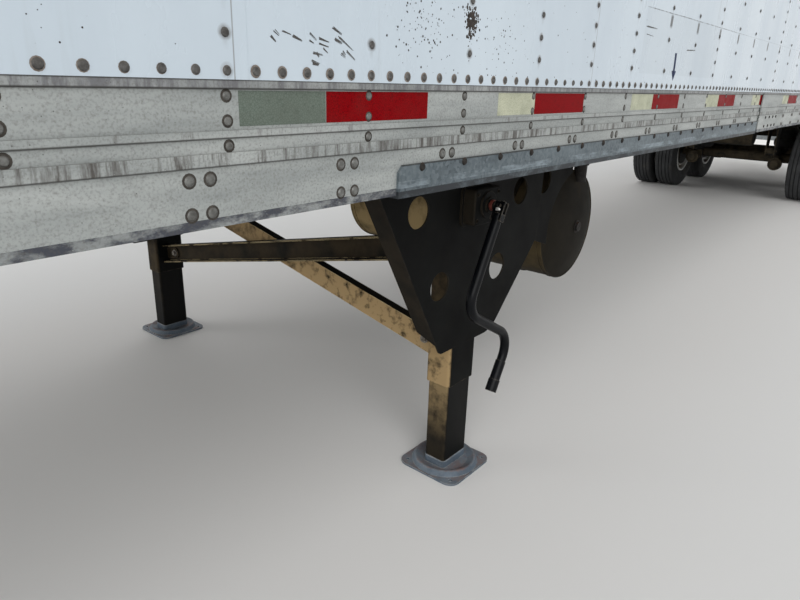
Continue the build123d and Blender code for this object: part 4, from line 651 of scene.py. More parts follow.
def addRod(bm, start, end, radius, segments=16, endRadius=None):
    start, end = Vector(start), Vector(end)
    bmesh.ops.create_cone(bm, cap_ends=True, segments=segments, radius1=radius,
                          radius2=radius if endRadius is None else endRadius, depth=(end - start).length,
                          matrix=Matrix.Translation((start + end) / 2) @ facing(end - start))


def turnOutward(bm):
    bmesh.ops.recalc_face_normals(bm, faces=bm.faces)


def domeMesh(name, radius, height, segments=10):
    bm = bmesh.new()
    bmesh.ops.create_uvsphere(bm, u_segments=segments, v_segments=4, radius=radius)
    cut = bmesh.ops.bisect_plane(bm, geom=bm.verts[:] + bm.edges[:] + bm.faces[:], plane_co=(0, 0, 0),
                                 plane_no=(0, 0, 1), clear_inner=True)
    rim = [e for e in cut["geom_cut"] if isinstance(e, bmesh.types.BMEdge)]
    bmesh.ops.holes_fill(bm, edges=rim)
    bmesh.ops.scale(bm, vec=(1, 1, height / radius), verts=bm.verts)
    turnOutward(bm)
    return toMesh(name, bm)


# as shares of a head's height and radius: the washer under it, and the end of the screw above it
boltShare = {"washerHigh": 0.22, "washerWide": 1.45, "screwHigh": 1.35, "screwWide": 0.55}


def boltMesh(name, radius, height):
    bm = bmesh.new()
    base = boltShare["washerHigh"] * height
    addRod(bm, (0, 0, 0), (0, 0, base), boltShare["washerWide"] * radius, segments=14)
    addRod(bm, (0, 0, base), (0, 0, base + height), radius, segments=6)
    addRod(bm, (0, 0, base + height), (0, 0, base + boltShare["screwHigh"] * height),
           boltShare["screwWide"] * radius, segments=8)
    return toMesh(name, bm)


def scatter(bm, prototype, matrices):
    for matrix in matrices:
        copy = prototype.copy()
        copy.transform(matrix)
        bm.from_mesh(copy)
        bpy.data.meshes.remove(copy)


def addHeads(bm, prototype, places, direction):   # the same fastener at many places, all facing one way
    out = facing(direction)
    scatter(bm, prototype, [Matrix.Translation(place) @ out for place in places])


def addRing(bm, centre, axis, radius, tube, parts=48, sides=8):   # a round bead, or a seal
    earlier = set(bm.verts)
    made = bmesh.ops.create_circle(bm, segments=sides, radius=tube)["verts"]
    edges = list({e for v in made for e in v.link_edges})
    place = Matrix.Translation((radius, 0, 0)) @ Matrix.Rotation(math.pi / 2, 4, "X")
    bmesh.ops.transform(bm, matrix=place, verts=made)
    bmesh.ops.spin(bm, geom=made + edges, cent=(0, 0, 0), axis=(0, 0, 1), dvec=(0, 0, 0), angle=2 * math.pi,
                   steps=parts, use_merge=True)
    around = [v for v in bm.verts if v not in earlier]
    bmesh.ops.transform(bm, matrix=Matrix.Translation(centre) @ facing(axis), verts=around)


def steps(start, stop, pitch):   # places from start towards stop, a pitch apart
    count = int(abs(stop - start) / pitch + 1e-6)
    return [start + (pitch if stop > start else -pitch) * index for index in range(count + 1)]


# side sheets: each overlaps the one behind it, and swells a little between the posts
sheets = {"lap": 0.024, "thickness": 1.2 * mm, "stand": 0.4 * mm, "swell": 3.0 * mm, "flatEdge": 1 / 9,
          "waves": 60, "wavePhase": 6.28, "waveHigh": 5.0, "waveLeast": 0.55, "baySteps": 6, "highSteps": 14,
          "seed": 11}
rng = random.Random(sheets["seed"])
swellPhases = [rng.uniform(0, sheets["wavePhase"]) for _ in range(sheets["waves"])]


def sheetFace(front, x, z):      # how far out a sheet's face stands, from its front edge and a place on it
    bay = (firstRivetX - x) / postPitch
    between = math.sin(math.pi * (bay - math.floor(bay))) ** 2
    high = (z - wallLow.z) / (wallHigh.z - wallLow.z)
    edge = min(1.0, high / sheets["flatEdge"], (1 - high) / sheets["flatEdge"])
    phase = swellPhases[math.floor(bay) % len(swellPhases)] + sheets["waveHigh"] * high
    wave = sheets["waveLeast"] + (1 - sheets["waveLeast"]) * math.sin(phase)
    lift = sheets["thickness"] * (front - x) / (sheetLength + sheets["lap"])
    return sideY + sheets["stand"] + lift + sheets["swell"] * between * edge * wave


for side, word in sideWords:
    bm = bmesh.new()
    seamX = firstRivetX - sheetSeam
    while seamX < wallHigh.x:
        seamX += sheetLength
    while seamX - sheets["lap"] > wallLow.x:
        front, rear = min(seamX, wallHigh.x), max(seamX - sheetLength - sheets["lap"], wallLow.x)
        count = max(1, round((front - rear) / postPitch * sheets["baySteps"]))
        made = bmesh.ops.create_grid(bm, x_segments=count, y_segments=sheets["highSteps"], size=0.5)["verts"]
        for vert in made:
            x = rear + (vert.co.x + 0.5) * (front - rear)
            z = wallLow.z + (vert.co.y + 0.5) * (wallHigh.z - wallLow.z)
            vert.co = (x, side * sheetFace(front, x, z), z)
        seamX -= sheetLength
    turnOutward(bm)
    for face in bm.faces:
        if face.normal.y * side < 0:
            face.normal_flip()
    bmesh.ops.solidify(bm, geom=bm.faces[:], thickness=sheets["thickness"])
    putPiece(f"sheet_skin_{word}", bm, "whiteSheet", crease=50)
print("side sheets laid")

# rivets: the columns at the posts, twice as close at the seams, and the bottom and top rows
rivets = {"radius": 7.0 * mm, "height": 2.8 * mm, "proud": 2.2 * mm, "topDown": 0.020, "clearTop": 0.04,
          "firstColumn": -7, "lastColumn": 44, "seamEvery": 4, "closeToo": (3, 5),
          "haloWide": 2.6 * mm, "haloTip": 1.2 * mm, "haloIn": 1.0 * mm, "haloOut": 0.5 * mm}
columns = range(rivets["firstColumn"], rivets["lastColumn"] + 1)
columnXs = [firstRivetX - column * postPitch for column in columns]
closeZs = steps(lowestRivetZ + rivetPitch, wallHigh.z - rivets["clearTop"], rivetPitch)
rowXs = steps(columnXs[0] + 3 * rivetPitch, columnXs[-1] - rivetPitch, rivetPitch)
rivetDome = domeMesh("rivetDome", rivets["radius"], rivets["height"])
for side, word in sideWords:
    y = side * (sideY + rivets["proud"])
    bm = bmesh.new()
    for column, x in zip(columns, columnXs):
        close = column % rivets["seamEvery"] == 0 or column in rivets["closeToo"]
        addHeads(bm, rivetDome, [(x, y, z) for z in (closeZs if close else closeZs[::2])], (0, side, 0))
    putPiece(f"post_rivets_{word}", bm, "rivetGrey")
    bm, halos = bmesh.new(), bmesh.new()
    for rowZ in (lowestRivetZ, wallHigh.z - rivets["topDown"]):
        addHeads(bm, rivetDome, [(x, y, rowZ) for x in rowXs], (0, side, 0))
    putPiece(f"edge_rivets_{word}", bm, "rivetGrey")
    for x in rowXs:
        foot, tip = [(x, y + side * out, lowestRivetZ) for out in (-rivets["haloIn"], rivets["haloOut"])]
        addRod(halos, foot, tip,
               rivets["radius"] + rivets["haloWide"], segments=12, endRadius=rivets["haloTip"])
    putPiece(f"edge_rivet_grime_{word}", halos, "grimeHalo")

# rivets on the bottom rails: three at each post, and four at each cross-member, each with a dark ring round
# its foot, painted shade partly grime
railRivets = {"postHeights": (1.3274, 1.2916, 1.2558), "beamHeights": (1.2099, 1.1597),
              "beamOffsets": (0.0711, 0.0362), "radius": 7.2 * mm, "height": 3.2 * mm, "beamRadius": 9.0 * mm,
              "beamHigh": 4.0 * mm, "ringWide": 2.8 * mm, "ringTip": 0.9 * mm, "ringHigh": 0.7 * mm}
postDome = domeMesh("postDome", railRivets["radius"], railRivets["height"], segments=12)
beamDome = domeMesh("beamDome", railRivets["beamRadius"], railRivets["beamHigh"], segments=12)
jointLow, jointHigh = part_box("joint_plates")
liftLow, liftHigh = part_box("lift_rails")
for side, word in sideWords:
    y = side * panelY
    postPlaces, beamPlaces = [], []
    for x in columnXs:
        if not jointLow.x < x < jointHigh.x:
            postPlaces += [(x, y, z) for z in railRivets["postHeights"]]
        for beamX in [x + offset for offset in railRivets["beamOffsets"]]:
            overLift = liftLow.x < beamX < liftHigh.x
            heights = [z for z in railRivets["beamHeights"] if not (overLift and z < liftHigh.z)]
            if not jointLow.x < beamX < jointHigh.x:
                beamPlaces += [(beamX, y, z) for z in heights]
    bm, rings = bmesh.new(), bmesh.new()
    addHeads(bm, postDome, postPlaces, (0, side, 0))
    addHeads(bm, beamDome, beamPlaces, (0, side, 0))
    putPiece(f"rail_rivets_{word}", bm, "rivetRail")
    # the rings: painted shade round the foot of each head, partly grime
    for places, radius in ((postPlaces, railRivets["radius"]), (beamPlaces, railRivets["beamRadius"])):
        for x, y, z in places:
            addRod(rings, (x, y, z), (x, y + side * railRivets["ringHigh"], z),
                   radius + railRivets["ringWide"], segments=14, endRadius=radius + railRivets["ringTip"])
    putPiece(f"rail_rivet_shade_and_grime_{word}", rings, "shadeAndGrimeRing")

# bolts along the lift rails and on the joint plates
liftBolts = {"first": 0.463, "pitch": 0.1524, "height": 1.1885, "radius": 9.2 * mm, "dome": 4.8 * mm,
             "clearEnd": 0.03}
jointBolts = {"columns": (3.650, 3.750, 3.847, 3.933), "heights": (1.213, 1.164)}
liftDome = domeMesh("liftDome", liftBolts["radius"], liftBolts["dome"], segments=12)
liftXs = steps(firstRivetX - liftBolts["first"], liftLow.x + liftBolts["clearEnd"], liftBolts["pitch"])
for side, word in sideWords:
    bm = bmesh.new()
    addHeads(bm, liftDome, [(x, side * liftHigh.y, liftBolts["height"]) for x in liftXs], (0, side, 0))
    for back in jointBolts["columns"]:
        places = [(firstRivetX - back, side * jointHigh.y, z) for z in jointBolts["heights"]]
        addHeads(bm, liftDome, places, (0, side, 0))
    putPiece(f"rail_bolts_{word}", bm, "rivetDark")

# rivets along the top rails, and on the nose beside the cooling unit
topRivets = {"rows": (4.028, 4.088), "pitch": 0.1016, "clearEnd": 0.05, "noseColumns": (1.205, 1.035),
             "nosePitch": 0.0762, "noseLow": 1.20, "noseHigh": 4.06, "noseRows": (1.165, 4.075),
             "noseReach": 1.15}
railLow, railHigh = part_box("top_rails")
rowXs = steps(railHigh.x - topRivets["clearEnd"], railLow.x + topRivets["clearEnd"], topRivets["pitch"])
noseZs = steps(topRivets["noseLow"], topRivets["noseHigh"], topRivets["nosePitch"])
noseYs = steps(-topRivets["noseReach"], topRivets["noseReach"], 2 * rivetPitch)
bm, noseHeads = bmesh.new(), bmesh.new()
for side in bothSides:
    for z in topRivets["rows"]:
        addHeads(bm, rivetDome, [(x, side * railHigh.y, z) for x in rowXs], (0, side, 0))
    for y in topRivets["noseColumns"]:
        addHeads(noseHeads, rivetDome, [(noseX, side * y, z) for z in noseZs], (1, 0, 0))
for z in topRivets["noseRows"]:
    addHeads(noseHeads, rivetDome, [(noseX, y, z) for y in noseYs], (1, 0, 0))
putPiece("top_rail_rivets", bm, "rivetGrey")
putPiece("nose_rivets", noseHeads, "rivetWhite")
print("rivets and bolts set")

# scratches, tar spots and an arrow on the left side, measured behind the first rivet and from the ground
damage = {"lift": 0.2 * mm, "depth": 0.25 * mm, "width": 2.6 * mm, "hairs": 4, "hairSpread": 2.0 * mm,
          "seed": 23, "cut": 0.15, "widths": (0.35, 0.8), "spreads": (0.2, 1.0), "spotLowest": 1.372,
          "spotSizes": (0.25, 1.0), "smallSpots": 1.5, "spotTop": 0.7,
          # back, height -> back, height, in millimetres
          "scratches": ((88, 1422, 98, 1415), (104, 1423, 122, 1418), (124, 1416, 144, 1410),
                        (159, 1422, 174, 1412), (158, 1411, 168, 1407), (179, 1417, 203, 1411),
                        (179, 1407, 201, 1403), (188, 1401, 199, 1394), (166, 1394, 188, 1391),
                        (173, 1394, 179, 1387), (209, 1435, 232, 1425), (223, 1422, 259, 1401),
                        (214, 1417, 232, 1411), (242, 1400, 263, 1386), (233, 1399, 241, 1393),
                        (229, 1395, 240, 1389), (162, 1381, 181, 1377), (164, 1378, 179, 1375),
                        (81, 1413, 91, 1405), (1598, 1541, 1701, 1540), (1609, 1519, 1676, 1516),
                        (2012, 1491, 2151, 1497)),
          # back, height, spread along, spread up, spots, largest radius
          "spots": ((0.611, 1.476, 0.010, 0.015, 300, 4.0 * mm), (0.609, 1.430, 0.004, 0.018, 16, 2.4 * mm),
                    (0.46, 1.47, 0.060, 0.050, 170, 2.4 * mm), (0.74, 1.44, 0.060, 0.040, 90, 2.2 * mm),
                    (1.20, 1.45, 0.300, 0.070, 60, 2.2 * mm), (-0.35, 1.42, 0.150, 0.030, 40, 1.4 * mm)),
          # the arrow: shaft top, shoulder and tip, as back and height, with half widths
          "arrow": {"top": (1.925, 1.476), "neck": (1.932, 1.416), "tip": (1.937, 1.382), "shaft": 9.0 * mm,
                    "head": 24.0 * mm}}


def onSheet(back, z, lift):      # a place on the left side's sheets
    x = firstRivetX - back
    front = x + (firstRivetX - sheetSeam - x) % sheetLength
    return Vector((x, sheetFace(front, x, z) + lift, z))


rng = random.Random(damage["seed"])
bm = bmesh.new()
for back, z, toBack, toZ in damage["scratches"]:
    start = onSheet(back * mm, z * mm, damage["lift"])
    stop = onSheet(toBack * mm, toZ * mm, damage["lift"])
    across = Vector((stop.z - start.z, 0, start.x - stop.x)).normalized()
    for _ in range(damage["hairs"]):
        cut, aside = rng.uniform(0.0, damage["cut"]), rng.uniform(-1, 1) * damage["hairSpread"]
        first = start.lerp(stop, cut * rng.random()) + across * aside
        last = stop.lerp(start, cut * rng.random()) + across * aside * rng.uniform(*damage["spreads"])
        width = damage["width"] * rng.uniform(*damage["widths"])
        before = set(bm.verts)
        addRod(bm, first, last, width / 2, segments=6, endRadius=width / 6)
        fresh = [v for v in bm.verts if v not in before]
        middle = Matrix.Translation(-(first + last) / 2)
        bmesh.ops.scale(bm, vec=(1, damage["depth"] / width, 1), space=middle, verts=fresh)
putPiece("sheet_scratches", bm, "scuffPaint")
bm = bmesh.new()
for back, z, spreadX, spreadZ, count, largest in damage["spots"]:
    for _ in range(count):
        spotBack = back + rng.gauss(0, spreadX)
        foot = onSheet(spotBack, max(z + rng.gauss(0, spreadZ), damage["spotLowest"]), 0.0)
        radius = largest * rng.uniform(*damage["spotSizes"]) ** damage["smallSpots"]
        addRod(bm, foot, foot + Vector((0, damage["depth"], 0)), radius, segments=9,
               endRadius=damage["spotTop"] * radius)
putPiece("sheet_tar_spots", bm, "tarSpots")

arrow = damage["arrow"]
half = [(arrow["top"], arrow["shaft"]), (arrow["neck"], arrow["shaft"]), (arrow["neck"], arrow["head"])]
outline = [(back + off, z) for (back, z), off in half] + [arrow["tip"]]
outline += [(back - off, z) for (back, z), off in half[::-1]]   # and up the other side
bm = bmesh.new()
arrowFace = bm.faces.new([bm.verts.new(onSheet(back, z, damage["lift"])) for back, z in outline])
bmesh.ops.solidify(bm, geom=[arrowFace], thickness=damage["depth"])
turnOutward(bm)
putPiece("sheet_arrow", bm, "arrowBlue")
print("scratches, spots and arrow placed")

# reflective tape along the rails: a white length, then a red one, measured behind the first rivet
tape = {"low": 1.2835, "high": 1.3345, "thick": 0.5 * mm, "sunk": 0.2 * mm, "gap": 1.5 * mm,
        # white from, white to and red to, as the photograph shows them
        "seen": ((0.021, 0.199, 0.479), (0.748, 0.924, 1.210), (1.577, 1.776, 2.062), (2.430, 2.625, 2.911)),
        "white": 0.180, "red": 0.285, "next": 3.275, "pitch": 0.815, "last": 12.9, "front": (-0.800, -1.640)}
tapeRows = list(tape["seen"])
for back in list(tape["front"]) + steps(tape["next"], tape["last"], tape["pitch"]):
    tapeRows.append((back, back + tape["white"], back + tape["white"] + tape["red"]))
for side, word in sideWords:
    whites, reds, oldest = bmesh.new(), bmesh.new(), bmesh.new()
    ys = side * (panelY + tape["thick"]), side * (panelY - tape["sunk"])
    for row, (whiteFrom, whiteTo, redTo) in enumerate(tapeRows):
        first = oldest if side == 1 and row == 0 else whites
        for bm, frontBack, rearBack in ((first, whiteFrom, whiteTo - tape["gap"]), (reds, whiteTo, redTo)):
            addSlab(bm, (firstRivetX - rearBack, firstRivetX - frontBack), ys, (tape["low"], tape["high"]))
    putPiece(f"tape_white_{word}", whites, "tapeWhite")
    putPiece(f"tape_red_{word}", reds, "tapeRed")
    if side == 1:
        putPiece("tape_old_left", oldest, "tapeOld")
    else:
        oldest.free()

# tape across the rear sill, the guard and the upper corners
rearTape = {"thick": 0.6 * mm, "sunk": 0.1 * mm, "gap": 1.5 * mm, "length": 0.18,
            "sill": (1.292, 1.340, 1.05), "guard": (0.484, 0.534, 1.17),   # low, high and reach to each side
            "corner": 0.305, "band": 0.050, "fromSide": 0.006, "fromTop": 0.010}
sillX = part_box("rear_guard")[0].x
tapeXs = (sillX - rearTape["thick"], sillX + rearTape["sunk"])
whites, reds = bmesh.new(), bmesh.new()
for low, high, reach in (rearTape["sill"], rearTape["guard"]):
    starts = steps(-reach, reach - rearTape["length"], 2 * reach / round(2 * reach / rearTape["length"]))
    for row, y in enumerate(starts):
        ys = (y, y + rearTape["length"] - rearTape["gap"])
        addSlab(reds if row % 2 else whites, tapeXs, ys, (low, high))
for side in bothSides:
    outY, topZ = sideY - rearTape["fromSide"], railHigh.z - rearTape["fromTop"]
    for inward, down in (("corner", "band"), ("band", "corner")):
        ys = (side * (outY - rearTape[inward]), side * outY)
        addSlab(whites, tapeXs, ys, (topZ - rearTape[down], topZ))
putPiece("tape_white_rear", whites, "tapeWhite")
putPiece("tape_red_rear", reds, "tapeRed")
print("tape laid")

# tyres: a grooved tread between notched shoulders, and a sidewall with a raised ring
tyre = {"steps": 192, "grooves": (0.0265, 0.0700), "grooveHalf": 0.0058, "grooveLean": 1.5 * mm,
        "grooveDeep": 0.013, "treadHalf": 0.1085, "crownDrop": 0.0045, "notchEvery": 4, "notchDeep": 0.0065,
        "notchOutside": 0.1, "notchAbove": 0.480, "fromMiddle": (0.8305, 1.1495),
        # out from the middle plane and radius, from the shoulder down to the bead
        "sidewall": ((0.1165, 0.5035), (0.1225, 0.491), (0.1245, 0.473), (0.1310, 0.452), (0.1365, 0.428),
                     (0.1386, 0.402), (0.1380, 0.381), (0.1392, 0.377), (0.1392, 0.371), (0.1368, 0.367),
                     (0.1325, 0.346), (0.1235, 0.326), (0.1175, 0.312), (0.1130, 0.3030), (0.1046, 0.3026),
                     (0.1046, 0.2866))}
tyreRadius = (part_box("tyres_front_left")[1].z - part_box("tyres_front_left")[0].z) / 2


def treadRadius(out):
    return tyreRadius - tyre["crownDrop"] * (out / tyre["treadHalf"]) ** 2


def tyreMesh():
    half = [(0.0, tyreRadius)]
    floorRadius = tyreRadius - tyre["grooveDeep"]
    for middle in tyre["grooves"]:
        near, far = middle - tyre["grooveHalf"], middle + tyre["grooveHalf"]
        half += [(near, treadRadius(near)), (near + tyre["grooveLean"], floorRadius),
                 (far - tyre["grooveLean"], floorRadius), (far, treadRadius(far))]
    half += [(tyre["treadHalf"], treadRadius(tyre["treadHalf"]))] + list(tyre["sidewall"])
    bm = bmesh.new()
    loop = [bm.verts.new((0, out, radius)) for out, radius in half]
    loop += [bm.verts.new((0, -out, radius)) for out, radius in half[:0:-1]]
    edges = [bm.edges.new((loop[i - 1], loop[i])) for i in range(len(loop))]
    bmesh.ops.spin(bm, geom=loop + edges, cent=(0, 0, 0), axis=(0, 1, 0), dvec=(0, 0, 0), angle=2 * math.pi,
                   steps=tyre["steps"], use_merge=True)
    turnOutward(bm)
    for vert in bm.verts:        # notches in both shoulders, those of one side half a pitch further round
        radius = math.hypot(vert.co.x, vert.co.z)
        if abs(vert.co.y) > tyre["notchOutside"] and radius > tyre["notchAbove"]:
            step = round(math.atan2(vert.co.x, vert.co.z) / (2 * math.pi) * tyre["steps"])
            shifted = step + (tyre["notchEvery"] // 2 if vert.co.y < 0 else 0)
            if shifted % tyre["notchEvery"] == 0:
                share = (radius - tyre["notchDeep"]) / radius
                vert.co = (vert.co.x * share, vert.co.y, vert.co.z * share)
    return toMesh("tyreShape", bm)


tyreShape = tyreMesh()
axlePlaces = {}
for end in wheelEnds:
    low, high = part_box(f"tyres_{end}")
    side = 1 if end.endswith("left") else -1
    axlePlaces[end] = Vector(((low.x + high.x) / 2, 0, (low.z + high.z) / 2)), side
    bm = bmesh.new()
    scatter(bm, tyreShape, [Matrix.Translation(axlePlaces[end][0] + Vector((0, side * y, 0)))
                            for y in tyre["fromMiddle"]])
    tread = putPiece(f"treaded_tyres_{end}", bm, "tyreRubber", f"dual_{end}", crease=30)
    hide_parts(f"tyres_{end}")
print("tyres treaded")

# wheel nuts, hub-cap bolts, a valve and the cap's seal at each wheel end
wheelFit = {"face": 1.0024, "circle": 0.1429, "nuts": 10, "nutRadius": 0.0185, "nutHigh": 0.016,
            "capFace": 1.1892, "capCircle": 0.056, "capBolts": 6, "capBolt": 5.5 * mm,
            "capBoltHigh": 4.5 * mm, "valveAt": 0.222, "valveRadius": 3.5 * mm, "valveLong": 0.040,
            "valveLean": 4 * mm, "sealFace": 1.1655, "sealRadius": 0.0715, "sealTube": 3.0 * mm}
nutShape = boltMesh("nutShape", wheelFit["nutRadius"], wheelFit["nutHigh"])
capBoltShape = boltMesh("capBoltShape", wheelFit["capBolt"], wheelFit["capBoltHigh"])
fastened = ((wheelFit["nuts"], wheelFit["circle"], wheelFit["face"], nutShape),
            (wheelFit["capBolts"], wheelFit["capCircle"], wheelFit["capFace"], capBoltShape))
for end in wheelEnds:
    centre, side = axlePlaces[end]
    bm = bmesh.new()
    for count, circle, face, shape in fastened:
        angles = [2 * math.pi * k / count for k in range(count)]
        places = [centre + Vector((circle * math.cos(a), side * face, circle * math.sin(a))) for a in angles]
        addHeads(bm, shape, places, (0, side, 0))
    putPiece(f"wheel_nuts_{end}", bm, "zincPlate", f"dual_{end}")
    bm = bmesh.new()
    foot = centre + Vector((0, side * wheelFit["face"], wheelFit["valveAt"]))
    addRod(bm, foot, foot + Vector((0, side * wheelFit["valveLong"], wheelFit["valveLean"])),
           wheelFit["valveRadius"], segments=10)
    addRing(bm, centre + Vector((0, side * wheelFit["sealFace"], 0)), (0, side, 0), wheelFit["sealRadius"],
            wheelFit["sealTube"])
    turnOutward(bm)
    putPiece(f"valve_and_seal_{end}", bm, "sealGrey", f"dual_{end}")
print("wheel ends fitted")

# landing gear: brace bolts, gearbox bolts, the red collar on the input shaft and the crank's bright pin
legX = (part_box("leg_tubes_outer")[0].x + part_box("leg_tubes_outer")[1].x) / 2
gear = {"braceY": 0.8275, "braceHeights": (0.8147, 0.4633), "earFace": 14.6 * mm, "farFace": 0.1 * mm,
        "braceBolt": 12 * mm, "braceBoltHigh": 9 * mm, "plateBoltZ": 1.112, "plateBolts": 5,
        "plateRear": 0.09, "plateFront": 0.08, "boxFace": 1.0576, "boxBolts": (0.058, 0.041),
        "boxMiddle": 0.988, "boxBolt": 5.5 * mm, "boxBoltHigh": 4.5 * mm, "shaftZ": 0.993, "shaftX": 2 * mm,
        "collar": (1.0706, 1.0806, 17.5 * mm), "collarEdge": 1.2 * mm,   # from, to and radius
        "crankY": 1.1055, "pinReach": 17.4 * mm, "pinLean": (0.897, 0.0, -0.4415), "pinHead": 9.5 * mm,
        "pinTop": 7.125 * mm, "pinHigh": 4 * mm}
braceBoltShape = boltMesh("braceBoltShape", gear["braceBolt"], gear["braceBoltHigh"])
wingLow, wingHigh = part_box("wing_plates")
plateStart, plateEnd = wingLow.x + gear["plateRear"], wingHigh.x - gear["plateFront"]
plateXs = steps(plateStart, plateEnd, (plateEnd - plateStart) / (gear["plateBolts"] - 1))
bm = bmesh.new()
for side in bothSides:
    y = side * gear["braceY"]
    for way, z in zip((side, -side), gear["braceHeights"]):   # the braces cross, so the sides differ
        addHeads(bm, braceBoltShape, [(legX + way * gear["earFace"], y, z)], (way, 0, 0))
        addHeads(bm, braceBoltShape, [(legX + way * gear["farFace"], y, z)], (-way, 0, 0))
    addHeads(bm, braceBoltShape, [(x, side * wingHigh.y, gear["plateBoltZ"]) for x in plateXs], (0, side, 0))
putPiece("brace_bolts", bm, "wornSteel")

shaftX = legX + gear["shaftX"]
boxBoltShape = boltMesh("boxBoltShape", gear["boxBolt"], gear["boxBoltHigh"])
acrossBox, upBox = gear["boxBolts"]
corners = [(shaftX + i * acrossBox, gear["boxFace"], gear["boxMiddle"] + k * upBox)
           for i in bothSides for k in bothSides]
bm = bmesh.new()
addHeads(bm, boxBoltShape, corners, (0, 1, 0))
putPiece("gearbox_bolts", bm, "plateSteel")

bm = bmesh.new()
nearY, farY, collarRadius = gear["collar"]
addRod(bm, (shaftX, nearY, gear["shaftZ"]), (shaftX, farY, gear["shaftZ"]), collarRadius, segments=28)
rims = [e for e in bm.edges if e.calc_face_angle(0) > 1.0]
bmesh.ops.bevel(bm, geom=rims, offset=gear["collarEdge"], segments=2, offset_type="OFFSET", profile=0.5,
                affect="EDGES", material=-1)
putPiece("shaft_collar", bm, "rustRed")

bm = bmesh.new()
pinMiddle, pinLine = Vector((shaftX, gear["crankY"], gear["shaftZ"])), Vector(gear["pinLean"])
for way in bothSides:
    foot = pinMiddle + way * pinLine * gear["pinReach"]
    addRod(bm, foot, foot + way * pinLine * gear["pinHigh"], gear["pinHead"], segments=20,
           endRadius=gear["pinTop"])
putPiece("crank_pin_heads", bm, "brightPin")
print("landing gear fitted")

# fuel tank: rolled rims, the plug in its head, the filler neck and the strap bolts
tankLow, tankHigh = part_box("fuel_tank")
tank = {"rims": (0.9455, 0.9255, -0.1445, -0.1245), "radius": 0.233, "rimSunk": 1.5 * mm, "bead": 4.5 * mm,
        "plug": 21.5 * mm, "plugBase": 1.25, "plugFaces": (-6 * mm, 3 * mm, 12 * mm),
        "neckBack": 1.985, "neckY": 0.962, "neckRadius": 27 * mm, "neckLow": 45 * mm, "neckHigh": 24 * mm,
        "capRadius": 34 * mm, "capHigh": 1.8, "capTop": 0.92,
        "strapYs": (0.7655, 0.0355), "strapAside": 0.060, "strapProud": 4 * mm}
tankX, tankZ = (tankLow.x + tankHigh.x) / 2, tankHigh.z - tank["radius"]
bm = bmesh.new()
for y in tank["rims"]:
    addRing(bm, (tankX, y, tankZ), (0, 1, 0), tank["radius"] - tank["rimSunk"], tank["bead"], parts=96)
turnOutward(bm)
putPiece("tank_rims", bm, "tankPaint")
bm = bmesh.new()
inner, middle, outer = [(tankX, tankHigh.y + face, tankZ) for face in tank["plugFaces"]]
addRod(bm, inner, middle, tank["plugBase"] * tank["plug"], segments=32)
addRod(bm, middle, outer, tank["plug"], segments=8)
neckX = firstRivetX - tank["neckBack"]
foot, brim, top = [(neckX, tank["neckY"], tankHigh.z + up)
                   for up in (-tank["neckLow"], tank["neckHigh"], tank["capHigh"] * tank["neckHigh"])]
addRod(bm, foot, brim, tank["neckRadius"], segments=28)
addRod(bm, brim, top, tank["capRadius"], segments=12, endRadius=tank["capTop"] * tank["capRadius"])
putPiece("tank_plug_and_neck", bm, "rivetDark")
bm = bmesh.new()
for y in tank["strapYs"]:
    places = [(tankX + way * tank["strapAside"], y, tankHigh.z + tank["strapProud"]) for way in bothSides]
    addHeads(bm, braceBoltShape, places, (0, 0, 1))
putPiece("tank_strap_bolts", bm, "wornSteel")
print("tank fitted")

# rear doors: a rubber gasket round each, bolts on the hinge straps and a liner inside
doorFit = {"gasket": 0.016, "thick": 3 * mm, "sunk": 0.2 * mm, "edge": 1.2 * mm, "strapFace": 8 * mm,
           "strapBolts": (0.045, 0.105, 0.165), "bolt": 7.5 * mm, "boltHigh": 5 * mm, "axisY": 1.2755,
           "heights": (1.560, 2.250, 2.940, 3.630), "spread": 0.018}
strapBoltShape = boltMesh("strapBoltShape", doorFit["bolt"], doorFit["boltHigh"])
for side, word in sideWords:
    low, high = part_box(f"door_{word}")
    bm = bmesh.new()
    addFrame(bm, (low.x - doorFit["thick"], low.x + doorFit["sunk"]), low, high, doorFit["gasket"],
             doorFit["edge"])
    putPiece(f"door_gasket_{word}", bm, "sealGrey", f"door_{word}")
    bm = bmesh.new()
    places = [(low.x - doorFit["strapFace"], side * (doorFit["axisY"] - away), z + up * doorFit["spread"])
              for z in doorFit["heights"] for away in doorFit["strapBolts"] for up in bothSides]
    addHeads(bm, strapBoltShape, places, (-1, 0, 0))
    putPiece(f"hinge_bolts_{word}", bm, "zincPlate", f"door_{word}")
liner = {"low": 1.402, "high": 1.720, "thick": 1.2 * mm, "wall": 0.064, "clearEnd": 0.02, "ribs": 6,
         "ribHalf": 8 * mm, "ribProud": 3 * mm, "ribEdge": 2 * mm}
linerXs = (wallLow.x + liner["clearEnd"], wallHigh.x - liner["clearEnd"])
bm = bmesh.new()
for side in bothSides:
    y = side * (wallHigh.y - liner["wall"])
    inY = y - side * liner["thick"]
    addSlab(bm, linerXs, (y, inY), (liner["low"], liner["high"]))
    for k in range(liner["ribs"]):
        z = liner["low"] + (k + 0.5) * (liner["high"] - liner["low"]) / liner["ribs"]
        addSlab(bm, linerXs, (inY, inY - side * liner["ribProud"]),
                (z - liner["ribHalf"], z + liner["ribHalf"]), liner["ribEdge"])
putPiece("scuff_liners", bm, "linerGrey")
print("rear doors fitted")

